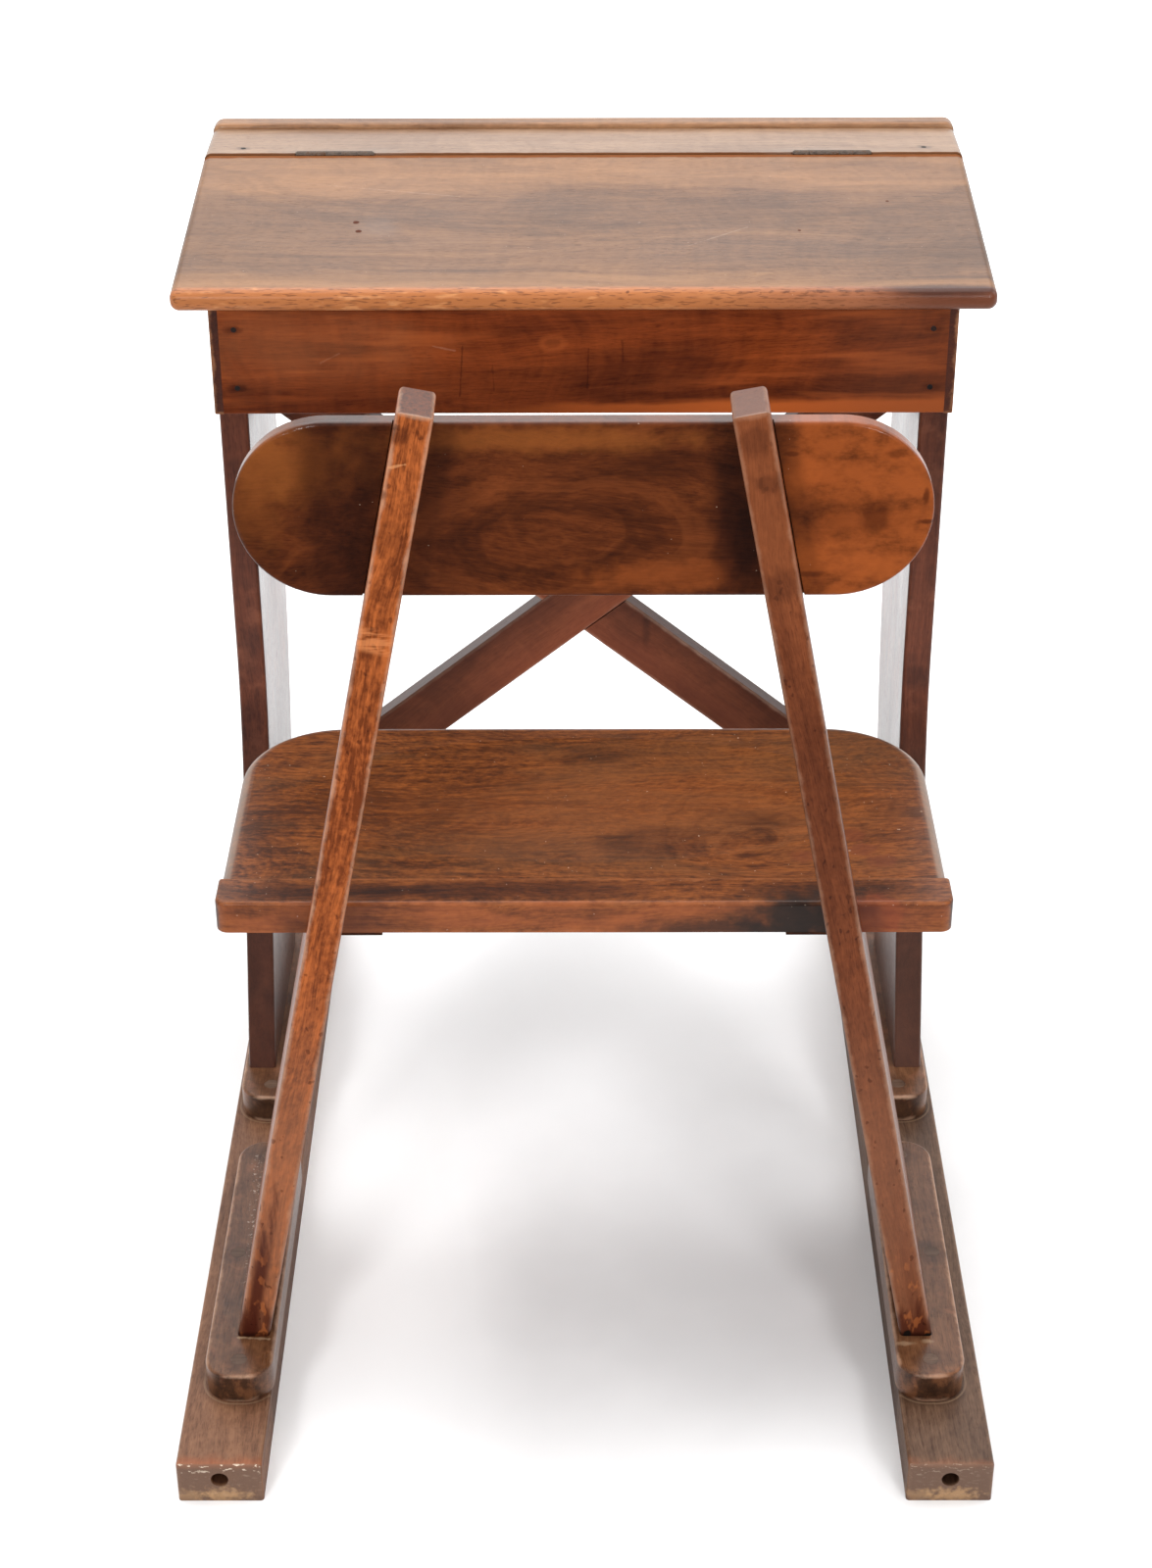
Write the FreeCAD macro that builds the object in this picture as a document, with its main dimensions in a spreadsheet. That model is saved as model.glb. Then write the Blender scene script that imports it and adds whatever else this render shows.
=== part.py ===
import FreeCAD, Part
import math
import os
from types import SimpleNamespace

import Sketcher

# A school desk with a lift lid and a bench seat, joined by two floor skids.
# Millimetres and degrees. Z is up, the sitter looks along +Y and left is -X.
# The origin is on the floor, in the middle of the plan.
# "Near" is towards -Y, behind the sitter, and "far" is towards +Y.
# Setbacks are measured along Y from the near ends of the skids.

SIZES = {
    # Skids, with a blind link hole in each near end
    "skid_end_margin": 66,
    "skid_width": 63,
    "skid_height": 36,
    "skid_overhang": 10,
    "skid_easing": 2.5,
    "link_hole_radius": 6.5,
    "link_hole_depth": 45,
    "link_hole_height": 21,
    # Shoes, with screws under round pellets
    "shoe_length": 283,
    "shoe_width": 51,
    "shoe_height": 25,
    "shoe_easing": 2.5,
    "seat_shoe_inset": 14,
    "desk_shoe_lead": 42,
    "desk_shoe_inset": 6,
    "shoe_screw_end_inset": 19,
    "shoe_screw_side_inset": 12,
    "shoe_screw_length": 38,
    "pellet_radius": 6,
    "pellet_height": 6,
    # Seat standards: leaning boards with a shoulder under the seat
    "seat_standard_lead": 44,
    "seat_standard_thickness": 24,
    "seat_standard_inset": 34,
    "seat_standard_height": 819,
    "seat_standard_easing": 3,
    "upright_depth": 42,
    "seat_shoulder_depth": 218,
    "seat_bend_drop": 73,
    "seat_bend_radius": 500,
    # Desk standards: boards raked below and upright above
    "desk_standard_inset": 22,
    "desk_standard_depth": 191,
    "desk_standard_easing": 2.5,
    "near_bend_height": 412,
    "near_bend_radius": 380,
    "far_bend_height": 480,
    "far_bend_radius": 800,
    # Tenons
    "foot_tenon_inset": 25,
    "foot_tenon_thickness": 12,
    "foot_tenon_depth": 18,
    "top_tenon_inset": 20,
    "top_tenon_width": 45,
    "top_tenon_thickness": 9,
    "top_tenon_height": 22,
    # Crossed brace between the desk standards
    "brace_width": 46,
    "brace_thickness": 20,
    "brace_upper_drop": 10,
    "brace_lower_height": 191,
    "brace_inset": 96,
    "brace_easing": 2,
    "brace_screw_length": 55,
    "brace_screw_pitch": 22,
    # Seat plank, rear rail and cleats
    "seat_height": 428,
    "seat_thickness": 25,
    "seat_depth": 222,
    "seat_half_width": 260.5,
    "seat_corner_radius": 75,
    "seat_easing": 10,
    "seat_under_easing": 3,
    "dish_length": 430,
    "dish_width": 180,
    "dish_depth": 4,
    "rail_depth": 32,
    "rail_half_length": 262,
    "rail_corner_radius": 9,
    "rail_easing": 3,
    "dowel_radius": 4,
    "dowel_length": 40,
    "dowel_pitch": 180,
    "cleat_length": 150,
    "cleat_width": 26,
    "cleat_height": 32,
    "cleat_inset": 12,
    "cleat_screw_inset": 30,
    "cleat_screw_length": 42,
    "seat_screw_length": 46,
    # Backrest
    "backrest_half_length": 228,
    "backrest_height": 124.5,
    "backrest_drop": 21,
    "backrest_thickness": 15,
    "backrest_easing": 3,
    "dado_depth": 5,
    "dado_clearance": 0.8,
    "backrest_screw_inset": 30,
    "backrest_screw_length": 30,
    "backrest_pellet_radius": 5,
    "backrest_pellet_height": 3,
    # Desk box
    "desk_half_width": 290,
    "side_thickness": 23,
    "box_setback": 540,
    "box_depth": 298,
    "box_bottom_height": 633,
    "box_back_height": 116,
    "box_front_thickness": 15,
    "box_back_thickness": 15,
    "box_bottom_thickness": 12,
    "box_lip": 7,
    "box_easing": 1.5,
    "box_nail_inset": 12,
    "box_nail_end_inset": 22,
    "box_nail_length": 40,
    "bottom_nail_inset": 30,
    # Lid, hinge rail and back ledge
    "lid_thickness": 17,
    "lid_side_overhang": 26.5,
    "lid_overhang": 19,
    "lid_gap": 3,
    "gap_easing": 1.2,
    "lid_rest_gap": 0.2,
    "hinge_rail_depth": 66,
    "hinge_rail_nail_inset": 16,
    "hinge_rail_nail_side_inset": 5,
    "ledge_thickness": 18,
    "ledge_height": 42,
    "ledge_rise": 5,
    "ledge_corner_radius": 9,
    "ledge_easing": 4,
    "ledge_screw_length": 30,
    "ledge_screw_pitch": 170,
    # Butt hinges
    "hinge_span": 207,
    "hinge_length": 63,
    "hinge_rise": 0.2,
    "leaf_height": 14,
    "leaf_thickness": 1.5,
    "leaf_gap": 0.4,
    "knuckle_radius": 2.6,
    "knuckle_gap": 0.3,
    "knuckle_clearance": 0.5,
    "hinge_pin_radius": 1.2,
    "hinge_pin_clearance": 0.05,
    "hinge_cap_radius": 2,
    "hinge_cap_length": 1,
    "hinge_screw_pitch": 21,
    "hinge_screw_drop": 8.5,
    "hinge_screw_length": 16,
    # Fasteners
    "screw_head_radius": 4,
    "screw_head_height": 3,
    "screw_shank_radius": 2,
    "hinge_screw_head_radius": 2.6,
    "hinge_screw_head_height": 1.4,
    "hinge_screw_shank_radius": 1.3,
    "nail_head_radius": 2.2,
    "nail_head_height": 1,
    "nail_shank_radius": 1.2,
    # Fits and cutting
    "joint_clearance": 0.2,
    "hole_clearance": 0.1,
    "cut_overrun": 5,
    "edge_tolerance": 0.01,
}
ANGLES = {
    "seat_standard_lean": 11,
    "standard_rake": 22,
    "lid_slope": 5.7,
}
SHARES = {
    "shoe_corner_share": 0.43,
    "lid_easing_share": 0.41,
    "hinge_rail_easing_share": 0.35,
}
KNUCKLES = 5
LEFT, RIGHT = -1, 1
SIDES = (LEFT, RIGHT)
X_AXIS = FreeCAD.Vector(1, 0, 0)
Y_AXIS = FreeCAD.Vector(0, 1, 0)
Z_AXIS = FreeCAD.Vector(0, 0, 1)
# Turns that bring +Z to the direction named
FACING = {
    "up": (Z_AXIS, 0),
    "down": (X_AXIS, 180),
    "near": (X_AXIS, 90),
    "far": (-X_AXIS, 90),
    "left": (-Y_AXIS, 90),
    "right": (Y_AXIS, 90),
}

doc = FreeCAD.newDocument("school_desk")
sheet = doc.addObject("Spreadsheet::Sheet", "Sizes")
values = {**SIZES, **ANGLES, **SHARES}
for row, (alias, number) in enumerate(values.items(), 1):
    sheet.set(f"A{row}", alias)
    sheet.set(f"B{row}", str(number))
    sheet.setAlias(f"B{row}", alias)
doc.recompute()


class Size:
    """A length, an angle or a share: its value now, and the sheet formula that gives it."""

    def __init__(self, value, text):
        self.value = float(value)
        self.text = text

    def __add__(self, other):
        other = sized(other)
        return Size(self.value + other.value, f"({self.text} + {other.text})")

    def __sub__(self, other):
        other = sized(other)
        return Size(self.value - other.value, f"({self.text} - {other.text})")

    def __mul__(self, other):
        other = sized(other)
        return Size(self.value * other.value, f"({self.text} * {other.text})")

    def __truediv__(self, other):
        other = sized(other)
        return Size(self.value / other.value, f"({self.text} / {other.text})")

    def __rmul__(self, other):
        return sized(other) * self

    def __neg__(self):
        return sized(-1) * self


def sized(value):
    return value if isinstance(value, Size) else Size(value, repr(value))


def sine(angle):
    return Size(math.sin(math.radians(angle.value)), f"sin({angle.text})")


def cosine(angle):
    return Size(math.cos(math.radians(angle.value)), f"cos({angle.text})")


def tangent(angle):
    return Size(math.tan(math.radians(angle.value)), f"tan({angle.text})")


def arctangent(ratio):
    return Size(math.degrees(math.atan(ratio.value)), f"atan({ratio.text})")


S = SimpleNamespace(**{alias: Size(number, "Sizes." + alias) for alias, number in values.items()})
pieces = {}


def keep(label, thing):
    """Name a finished piece, so that it is written out."""
    thing.Label = label
    pieces[label] = thing
    return thing


def bind(thing, prop, size):
    thing.setExpression(prop, sized(size).text)


def place(thing, x, y, z, turn=FACING["up"]):
    """Put a piece at x, y, z, turned about an axis."""
    axis, angle = turn
    spot = [sized(value) for value in (x, y, z)]
    base = FreeCAD.Vector(*[value.value for value in spot])
    thing.Placement = FreeCAD.Placement(base, FreeCAD.Rotation(axis, sized(angle).value))
    for letter, value in zip("xyz", spot):
        bind(thing, "Placement.Base." + letter, value)
    if isinstance(angle, Size):
        bind(thing, "Placement.Rotation.Angle", angle)
    return thing


def block(name, corner, dimensions, turn=FACING["up"]):
    thing = doc.addObject("Part::Box", name)
    for prop, size in zip(("Length", "Width", "Height"), dimensions):
        bind(thing, prop, size)
    return place(thing, *corner, turn)


def rod(name, radius, length, start, facing):
    """A cylinder that runs from its start in the direction it faces."""
    thing = doc.addObject("Part::Cylinder", name)
    bind(thing, "Radius", radius)
    bind(thing, "Height", length)
    return place(thing, *start, FACING[facing])


def fuse(name, parts):
    thing = doc.addObject("Part::MultiFuse", name)
    thing.Shapes = parts
    return thing


def group(name, parts):
    thing = doc.addObject("Part::Compound", name)
    thing.Links = parts
    return thing


def cut(name, base, tools):
    thing = doc.addObject("Part::Cut", name)
    thing.Base = base
    thing.Tool = tools[0] if len(tools) == 1 else fuse(name + "_cutters", tools)
    return thing


def mirrored(name, source):
    """The same piece on the other side of the desk's middle plane."""
    thing = doc.addObject("Part::Mirroring", name)
    thing.Source = source
    thing.Normal = X_AXIS
    return thing


def keep_pair(label, left):
    """Keep a left piece and its right twin."""
    keep(label + "_left", left)
    keep(label + "_right", mirrored(label + "_twin", left))


def arc(start, end, radius, turn):
    """The short arc from start to end that bends to the left or to the right."""
    chord = end - start
    normal = FreeCAD.Vector(-chord.y, chord.x, 0) * (-turn / chord.Length)
    reach = math.sqrt(max(radius ** 2 - (chord.Length / 2) ** 2, 0))
    centre = (start + end) / 2 + normal * reach
    first, last = (start, end) if turn == LEFT else (end, start)
    angles = [math.atan2(point.y - centre.y, point.x - centre.x) for point in (first, last)]
    if angles[1] < angles[0]:
        angles[1] += 2 * math.pi
    return Part.ArcOfCircle(Part.Circle(centre, Z_AXIS, radius), *angles)


def outline(sketch, corners):
    """Draw a closed outline. A corner is (u, v), or (u, v, radius, turn) where an arc leaves it."""
    points = [(sized(corner[0]), sized(corner[1])) for corner in corners]
    ends = []
    for index, corner in enumerate(corners):
        start, end = points[index], points[(index + 1) % len(points)]
        from_point = FreeCAD.Vector(start[0].value, start[1].value, 0)
        to_point = FreeCAD.Vector(end[0].value, end[1].value, 0)
        if len(corner) == 2:
            sketch.addGeometry(Part.LineSegment(from_point, to_point))
            ends.append((1, 2))
        else:
            radius, turn = sized(corner[2]), corner[3]
            sketch.addGeometry(arc(from_point, to_point, radius.value, turn))
            ends.append((1, 2) if turn == LEFT else (2, 1))
            rule = sketch.addConstraint(Sketcher.Constraint("Radius", index, radius.value))
            sketch.setExpression(f"Constraints[{rule}]", radius.text)
    for index, point in enumerate(points):
        following = (index + 1) % len(points)
        link = Sketcher.Constraint("Coincident", index, ends[index][1], following, ends[following][0])
        sketch.addConstraint(link)
        for kind, size in zip(("DistanceX", "DistanceY"), point):
            rule = sketch.addConstraint(Sketcher.Constraint(kind, index, ends[index][0], size.value))
            sketch.setExpression(f"Constraints[{rule}]", size.text)


def rounded(low, high, radii):
    """Corners of a rectangle, from the low corner leftwards round, each with a radius or None."""
    (u_low, v_low), (u_high, v_high) = low, high
    steps = [
        ((u_low, v_low), (0, 1), (1, 0)),
        ((u_high, v_low), (-1, 0), (0, 1)),
        ((u_high, v_high), (0, -1), (-1, 0)),
        ((u_low, v_high), (1, 0), (0, -1)),
    ]
    corners = []
    for ((u, v), into, out), radius in zip(steps, radii):
        if radius is None:
            corners.append((u, v))
        else:
            u, v = sized(u), sized(v)
            corners.append((u + into[0] * radius, v + into[1] * radius, radius, LEFT))
            corners.append((u + out[0] * radius, v + out[1] * radius))
    return corners


def stadium(half_length, low, height):
    """Corners of a long shape with half-round ends."""
    radius = height / 2
    straight = half_length - radius
    middle = low + radius
    high = low + height
    return [
        (-straight, low),
        (straight, low, radius, LEFT),
        (half_length, middle, radius, LEFT),
        (straight, high),
        (-straight, high, radius, LEFT),
        (-half_length, middle, radius, LEFT),
    ]


def board(name, plane, corners, thickness):
    """A body padded from an outline: XY goes up, XZ goes far and YZ goes right."""
    body = doc.addObject("PartDesign::Body", name)
    sketch = body.newObject("Sketcher::SketchObject", name + "_outline")
    roles = {feature.Role: feature for feature in body.Origin.OriginFeatures}
    sketch.AttachmentSupport = [(roles[plane + "_Plane"], "")]
    sketch.MapMode = "FlatFace"
    outline(sketch, corners)
    pad = body.newObject("PartDesign::Pad", name + "_pad")
    pad.Profile = sketch
    pad.Reversed = plane == "XZ"
    bind(pad, "Length", thickness)
    doc.recompute()
    return body


def ease(body, radius, chosen):
    """Round over the edges of a body that the test picks, in the body's own frame."""
    base = body.Tip
    edges = [f"Edge{number}" for number, edge in enumerate(base.Shape.Edges, 1) if chosen(edge)]
    fillet = body.newObject("PartDesign::Fillet", body.Name + "_easing")
    fillet.Base = (base, edges)
    bind(fillet, "Radius", radius)
    doc.recompute()
    return body


def lies_at(edge, letter, size):
    """True where the whole edge has this one coordinate."""
    box = edge.BoundBox
    spread = (getattr(box, letter + "Min"), getattr(box, letter + "Max"))
    return all(abs(value - sized(size).value) < S.edge_tolerance.value for value in spread)


def fastener(name, kind, length, spot, facing, slack=None, mouth=None):
    """A headed fastener with its head's top at the spot, or with a slack, the hole for it.

    A mouth is the radius and depth of a wider bore above the head.
    """
    head_radius = getattr(S, kind + "_head_radius")
    head_height = getattr(S, kind + "_head_height")
    shank_radius = getattr(S, kind + "_shank_radius")
    grow = sized(0) if slack is None else slack
    parts = [
        rod(name + "_shank", shank_radius + grow, length + grow - head_height, (0, 0, -head_height), "down")
    ]
    head = doc.addObject("Part::Cone", name + "_head")
    bind(head, "Radius1", shank_radius + grow)
    bind(head, "Radius2", head_radius + grow)
    bind(head, "Height", head_height)
    parts.append(place(head, 0, 0, -head_height))
    if slack is not None:
        bore_radius, bore_depth = mouth or (head_radius, sized(0))
        parts.append(rod(name + "_mouth", bore_radius + grow, bore_depth + S.cut_overrun, (0, 0, 0), "up"))
    return place(fuse(name, parts), *spot, FACING[facing])


def fasteners(name, kind, length, spots, mouth=None):
    """Fasteners at (spot, facing) places, and the holes that they need."""
    bodies = []
    holes = []
    for number, (spot, facing) in enumerate(spots, 1):
        bodies.append(fastener(f"{name}_{number}", kind, length, spot, facing))
        hole_name = f"{name}_hole_{number}"
        holes.append(fastener(hole_name, kind, length, spot, facing, S.hole_clearance, mouth))
    return bodies, holes


def left_ones(spots, things):
    """The things whose spots lie to the left of the middle plane."""
    return [thing for (spot, _), thing in zip(spots, things) if sized(spot[0]).value < 0]


# Levels and places that several pieces share
half_depth = (S.box_setback + S.box_depth + S.ledge_thickness) / 2
shoe_top = S.skid_height + S.shoe_height
seat_under = S.seat_height - S.seat_thickness
lean = S.seat_standard_lean
seat_standard_setback = S.skid_end_margin + S.seat_standard_lead
upright_far = seat_standard_setback + S.upright_depth
rail_far = upright_far + S.rail_depth
seat_far = rail_far + S.seat_depth
backrest_near = upright_far - S.dado_depth
backrest_bottom = S.seat_standard_height - S.backrest_drop - S.backrest_height
skid_half_span = S.desk_half_width + S.skid_overhang
seat_shoe_outer = skid_half_span - S.seat_shoe_inset
desk_shoe_outer = skid_half_span - S.desk_shoe_inset
seat_standard_span = seat_shoe_outer - S.seat_standard_inset
desk_standard_setback = S.box_setback + S.desk_standard_inset
desk_inner = S.desk_half_width - S.side_thickness
box_far = S.box_setback + S.box_depth
box_top = S.box_bottom_height + S.box_back_height
hinge_setback = box_far - S.hinge_rail_depth
rail_top = box_top + S.lid_thickness
hinge_level = rail_top + S.hinge_rise
lid_half_width = S.desk_half_width + S.lid_side_overhang
brace_setback = desk_standard_setback + S.brace_inset
brace_upper = S.box_bottom_height - S.brace_upper_drop
brace_height = (brace_upper + S.brace_lower_height) / 2
brace_angle = arctangent((brace_upper - S.brace_lower_height) / (desk_inner * 2))


def along(setback):
    """The Y of a setback from the near ends of the skids."""
    return setback - half_depth


def lid_rest(setback):
    """The height under the sloping lid at a setback."""
    return box_top - S.lid_rest_gap - (hinge_setback - setback) * tangent(S.lid_slope)


def standard_centre(height):
    """How far the middle of a leaning seat standard is from the middle plane at a height."""
    return seat_standard_span - (height - shoe_top) * tangent(lean)


def leaning_block(name, across, setbacks, lengths):
    """A block in the frame of the left seat standard: across, along Y and up the lean."""
    low, high = across
    near, far = setbacks
    bottom, top = lengths
    corner = (
        low * cosine(lean) + bottom * sine(lean) - seat_standard_span,
        along(near),
        shoe_top + bottom * cosine(lean) - low * sine(lean),
    )
    return block(name, corner, (high - low, far - near, top - bottom), (Y_AXIS, lean))


def shoe_screw_spots():
    """Screws near both ends of each shoe, and one beside the standard."""
    end = S.shoe_screw_end_inset
    side_inset = S.shoe_screw_side_inset
    level = shoe_top - S.pellet_height
    middle = S.shoe_length / 2
    far_end = S.shoe_length - end
    seat_middle = seat_shoe_outer - S.shoe_width / 2
    desk_middle = desk_shoe_outer - S.shoe_width / 2
    seat_side = seat_shoe_outer - side_inset
    desk_side = desk_shoe_outer - S.shoe_width + side_inset
    rows = (
        (S.skid_end_margin, ((seat_middle, end), (seat_side, middle), (seat_middle, far_end))),
        (desk_shoe_setback(), ((desk_middle, end), (desk_side, middle), (desk_middle, far_end))),
    )
    return [
        ((side * across, along(setback + distance), level), "up")
        for side in SIDES
        for setback, places in rows
        for across, distance in places
    ]


def make_skids_and_shoes():
    spots = shoe_screw_spots()
    mouth = (S.pellet_radius, S.pellet_height)
    screws, holes = fasteners("shoe_screw", "screw", S.shoe_screw_length, spots, mouth)
    keep("shoe_screws", group("shoe_screw_group", screws))
    pellets = [
        rod(f"shoe_pellet_{number}", S.pellet_radius, S.pellet_height, spot, "up")
        for number, (spot, _) in enumerate(spots, 1)
    ]
    keep("shoe_pellets", group("shoe_pellet_group", pellets))
    holes = left_ones(spots, holes)
    seat_holes, desk_holes = holes[: len(holes) // 2], holes[len(holes) // 2 :]

    skid = board(
        "skid", "XZ", rounded((0, 0), (S.skid_width, S.skid_height), (None,) * 4), skid_length()
    )
    ease(skid, S.skid_easing, lambda edge: not lies_at(edge, "Z", 0))
    place(skid, -skid_half_span, along(sized(0)), 0)
    link_hole = rod(
        "link_hole",
        S.link_hole_radius,
        S.link_hole_depth + S.cut_overrun,
        (S.skid_width / 2 - skid_half_span, along(-S.cut_overrun), S.link_hole_height),
        "far",
    )
    keep_pair("skid", cut("skid_cut", skid, [link_hole] + holes))

    seat_mortise = leaning_block(
        "seat_mortise",
        tenon_across(S.joint_clearance),
        tenon_setbacks(seat_standard_setback, seat_standard_foot(), S.joint_clearance),
        (-S.foot_tenon_depth - S.joint_clearance, S.foot_tenon_depth),
    )
    keep_pair("seat_shoe", make_shoe("seat_shoe", -seat_shoe_outer, S.skid_end_margin,
                                     [seat_mortise] + seat_holes))
    desk_mortise = desk_foot_tenon("desk_mortise", S.joint_clearance)
    keep_pair("desk_shoe", make_shoe("desk_shoe", -desk_shoe_outer, desk_shoe_setback(),
                                     [desk_mortise] + desk_holes))


def make_shoe(name, outer, setback, cutters):
    corner = S.shoe_width * S.shoe_corner_share
    shape = rounded((0, 0), (S.shoe_width, S.shoe_length), (corner,) * 4)
    shoe = board(name + "_block", "XY", shape, S.shoe_height)
    ease(shoe, S.shoe_easing, lambda edge: lies_at(edge, "Z", S.shoe_height))
    place(shoe, outer, along(setback), S.skid_height)
    return cut(name + "_cut", shoe, cutters)


def tenon_across(clearance):
    half = S.foot_tenon_thickness / 2 + clearance
    return -half, half


def tenon_setbacks(near, far, clearance):
    return near + S.foot_tenon_inset - clearance, far - S.foot_tenon_inset + clearance


def seat_standard_foot():
    """The far setback of a seat standard where it meets its shoe."""
    slope = tangent(S.standard_rake)
    bend_end = seat_bend_level() - S.seat_bend_radius * sine(S.standard_rake)
    return seat_bend_end_setback() - bend_end * slope


def seat_bend_level():
    """How far up the lean the bend of the far edge starts."""
    return (seat_under - shoe_top) / cosine(lean) - S.seat_bend_drop


def seat_bend_end_setback():
    bulge = S.seat_bend_radius - S.seat_bend_radius * cosine(S.standard_rake)
    return upright_far + S.seat_shoulder_depth - bulge


def make_seat_standards(cleat_holes, backrest_holes):
    """A narrow upright over a wide raked foot, with a level shoulder for the seat."""
    top = (S.seat_standard_height - shoe_top) / cosine(lean)
    shoulder = (seat_under - shoe_top) / cosine(lean) + S.cut_overrun
    shoulder_far = upright_far + S.seat_shoulder_depth
    bend = seat_bend_level()
    bend_end = bend - S.seat_bend_radius * sine(S.standard_rake)
    foot_far = seat_standard_foot() - S.cut_overrun * tangent(S.standard_rake)
    corners = [
        (along(seat_standard_setback), -S.cut_overrun),
        (along(seat_standard_setback), top),
        (along(upright_far), top),
        (along(upright_far), shoulder),
        (along(shoulder_far), shoulder),
        (along(shoulder_far), bend, S.seat_bend_radius, RIGHT),
        (along(seat_bend_end_setback()), bend_end),
        (along(foot_far), -S.cut_overrun),
    ]
    standard = board("seat_standard", "YZ", corners, S.seat_standard_thickness)
    faces = (sized(0), S.seat_standard_thickness)

    def is_arris(edge):
        on_face = any(lies_at(edge, "X", face) for face in faces)
        return on_face and not lies_at(edge, "Z", shoulder) and not lies_at(edge, "Z", -S.cut_overrun)

    ease(standard, S.seat_standard_easing, is_arris)
    half = S.seat_standard_thickness / 2
    place(
        standard,
        -seat_standard_span - half * cosine(lean),
        0,
        shoe_top + half * sine(lean),
        (Y_AXIS, lean),
    )
    over_seat = block(
        "over_seat_shoulder",
        (-skid_half_span, along(upright_far), seat_under),
        (skid_half_span, S.seat_shoulder_depth + S.cut_overrun, S.seat_thickness),
    )
    under_foot = block(
        "under_seat_foot",
        (-skid_half_span, along(sized(0)), 0),
        (skid_half_span, skid_length(), shoe_top),
    )
    tenon = leaning_block(
        "seat_tenon",
        tenon_across(sized(0)),
        tenon_setbacks(seat_standard_setback, seat_standard_foot(), sized(0)),
        (-S.foot_tenon_depth, S.foot_tenon_depth),
    )
    trimmed = cut("seat_standard_trim", standard, [over_seat, under_foot])
    whole = fuse("seat_standard_tenoned", [trimmed, tenon])
    keep_pair("seat_standard", cut("seat_standard_cut", whole, cleat_holes + backrest_holes))


def desk_foot():
    """The near and far setbacks of a desk standard where it meets its shoe."""
    slope = tangent(S.standard_rake)
    near_end = S.near_bend_height - S.near_bend_radius * sine(S.standard_rake)
    far_end = S.far_bend_height - S.far_bend_radius * sine(S.standard_rake)
    near_bulge = S.near_bend_radius - S.near_bend_radius * cosine(S.standard_rake)
    far_bulge = S.far_bend_radius - S.far_bend_radius * cosine(S.standard_rake)
    near = desk_standard_setback - near_bulge
    far = desk_standard_setback + S.desk_standard_depth - far_bulge
    return SimpleNamespace(
        near=near - (near_end - shoe_top) * slope,
        far=far - (far_end - shoe_top) * slope,
        near_bend=(near, near_end),
        far_bend=(far, far_end),
    )


def desk_shoe_setback():
    return desk_foot().near - S.desk_shoe_lead


def skid_length():
    return desk_shoe_setback() + S.shoe_length + S.skid_end_margin


def desk_foot_tenon(name, clearance):
    foot = desk_foot()
    near, far = tenon_setbacks(foot.near, foot.far, clearance)
    thickness = S.foot_tenon_thickness + clearance * 2
    middle = S.desk_half_width - S.side_thickness / 2
    depth = S.foot_tenon_depth + clearance
    return block(
        name,
        (-middle - thickness / 2, along(near), shoe_top - depth),
        (thickness, far - near, depth + S.foot_tenon_depth),
    )


def top_tenons(name, clearance):
    """Two stub tenons on the top of the left desk standard, or the mortises for them."""
    thickness = S.top_tenon_thickness + clearance * 2
    middle = S.desk_half_width - S.side_thickness / 2
    first = desk_standard_setback + S.top_tenon_inset
    second = desk_standard_setback + S.desk_standard_depth - S.top_tenon_inset - S.top_tenon_width
    return [
        block(
            f"{name}_{number}",
            (-middle - thickness / 2, along(near - clearance), S.box_bottom_height - S.top_tenon_height),
            (thickness, S.top_tenon_width + clearance * 2, S.top_tenon_height * 2 + clearance),
        )
        for number, near in enumerate((first, second), 1)
    ]


def make_desk_standards(brace_holes):
    foot = desk_foot()
    near = desk_standard_setback
    far = near + S.desk_standard_depth
    corners = [
        (along(foot.near), shoe_top),
        (along(foot.near_bend[0]), foot.near_bend[1], S.near_bend_radius, LEFT),
        (along(near), S.near_bend_height),
        (along(near), S.box_bottom_height),
        (along(far), S.box_bottom_height),
        (along(far), S.far_bend_height, S.far_bend_radius, RIGHT),
        (along(foot.far_bend[0]), foot.far_bend[1]),
        (along(foot.far), shoe_top),
    ]
    standard = board("desk_standard", "YZ", corners, S.side_thickness)
    faces = (sized(0), S.side_thickness)

    def is_arris(edge):
        on_face = any(lies_at(edge, "X", face) for face in faces)
        return on_face and not any(lies_at(edge, "Z", level) for level in (shoe_top, S.box_bottom_height))

    ease(standard, S.desk_standard_easing, is_arris)
    place(standard, -S.desk_half_width, 0, 0)
    tenons = [desk_foot_tenon("desk_tenon", sized(0))] + top_tenons("top_tenon", sized(0))
    whole = fuse("desk_standard_tenoned", [standard] + tenons)
    keep_pair("desk_standard", cut("desk_standard_cut", whole, brace_holes))


def brace_half_height():
    return S.brace_width / 2 / cosine(brace_angle)


def brace_end(rise):
    """The height of the middle of a brace's end, where rise is 1 for upper and -1 for lower."""
    return brace_height + rise * desk_inner * tangent(brace_angle)


def brace_screw_spots():
    """Two screws through each desk standard into each brace end, clear of the box."""
    setback = along(brace_setback + S.brace_thickness / 2)
    upper_low = brace_end(1) - brace_half_height()
    upper = (upper_low + S.box_bottom_height) / 2
    half = S.brace_screw_pitch / 2
    spots = []
    for side, facing in ((LEFT, "left"), (RIGHT, "right")):
        for middle in (brace_end(-1), upper):
            for height in (middle - half, middle + half):
                spots.append(((side * S.desk_half_width, setback, height), facing))
    return spots


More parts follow.
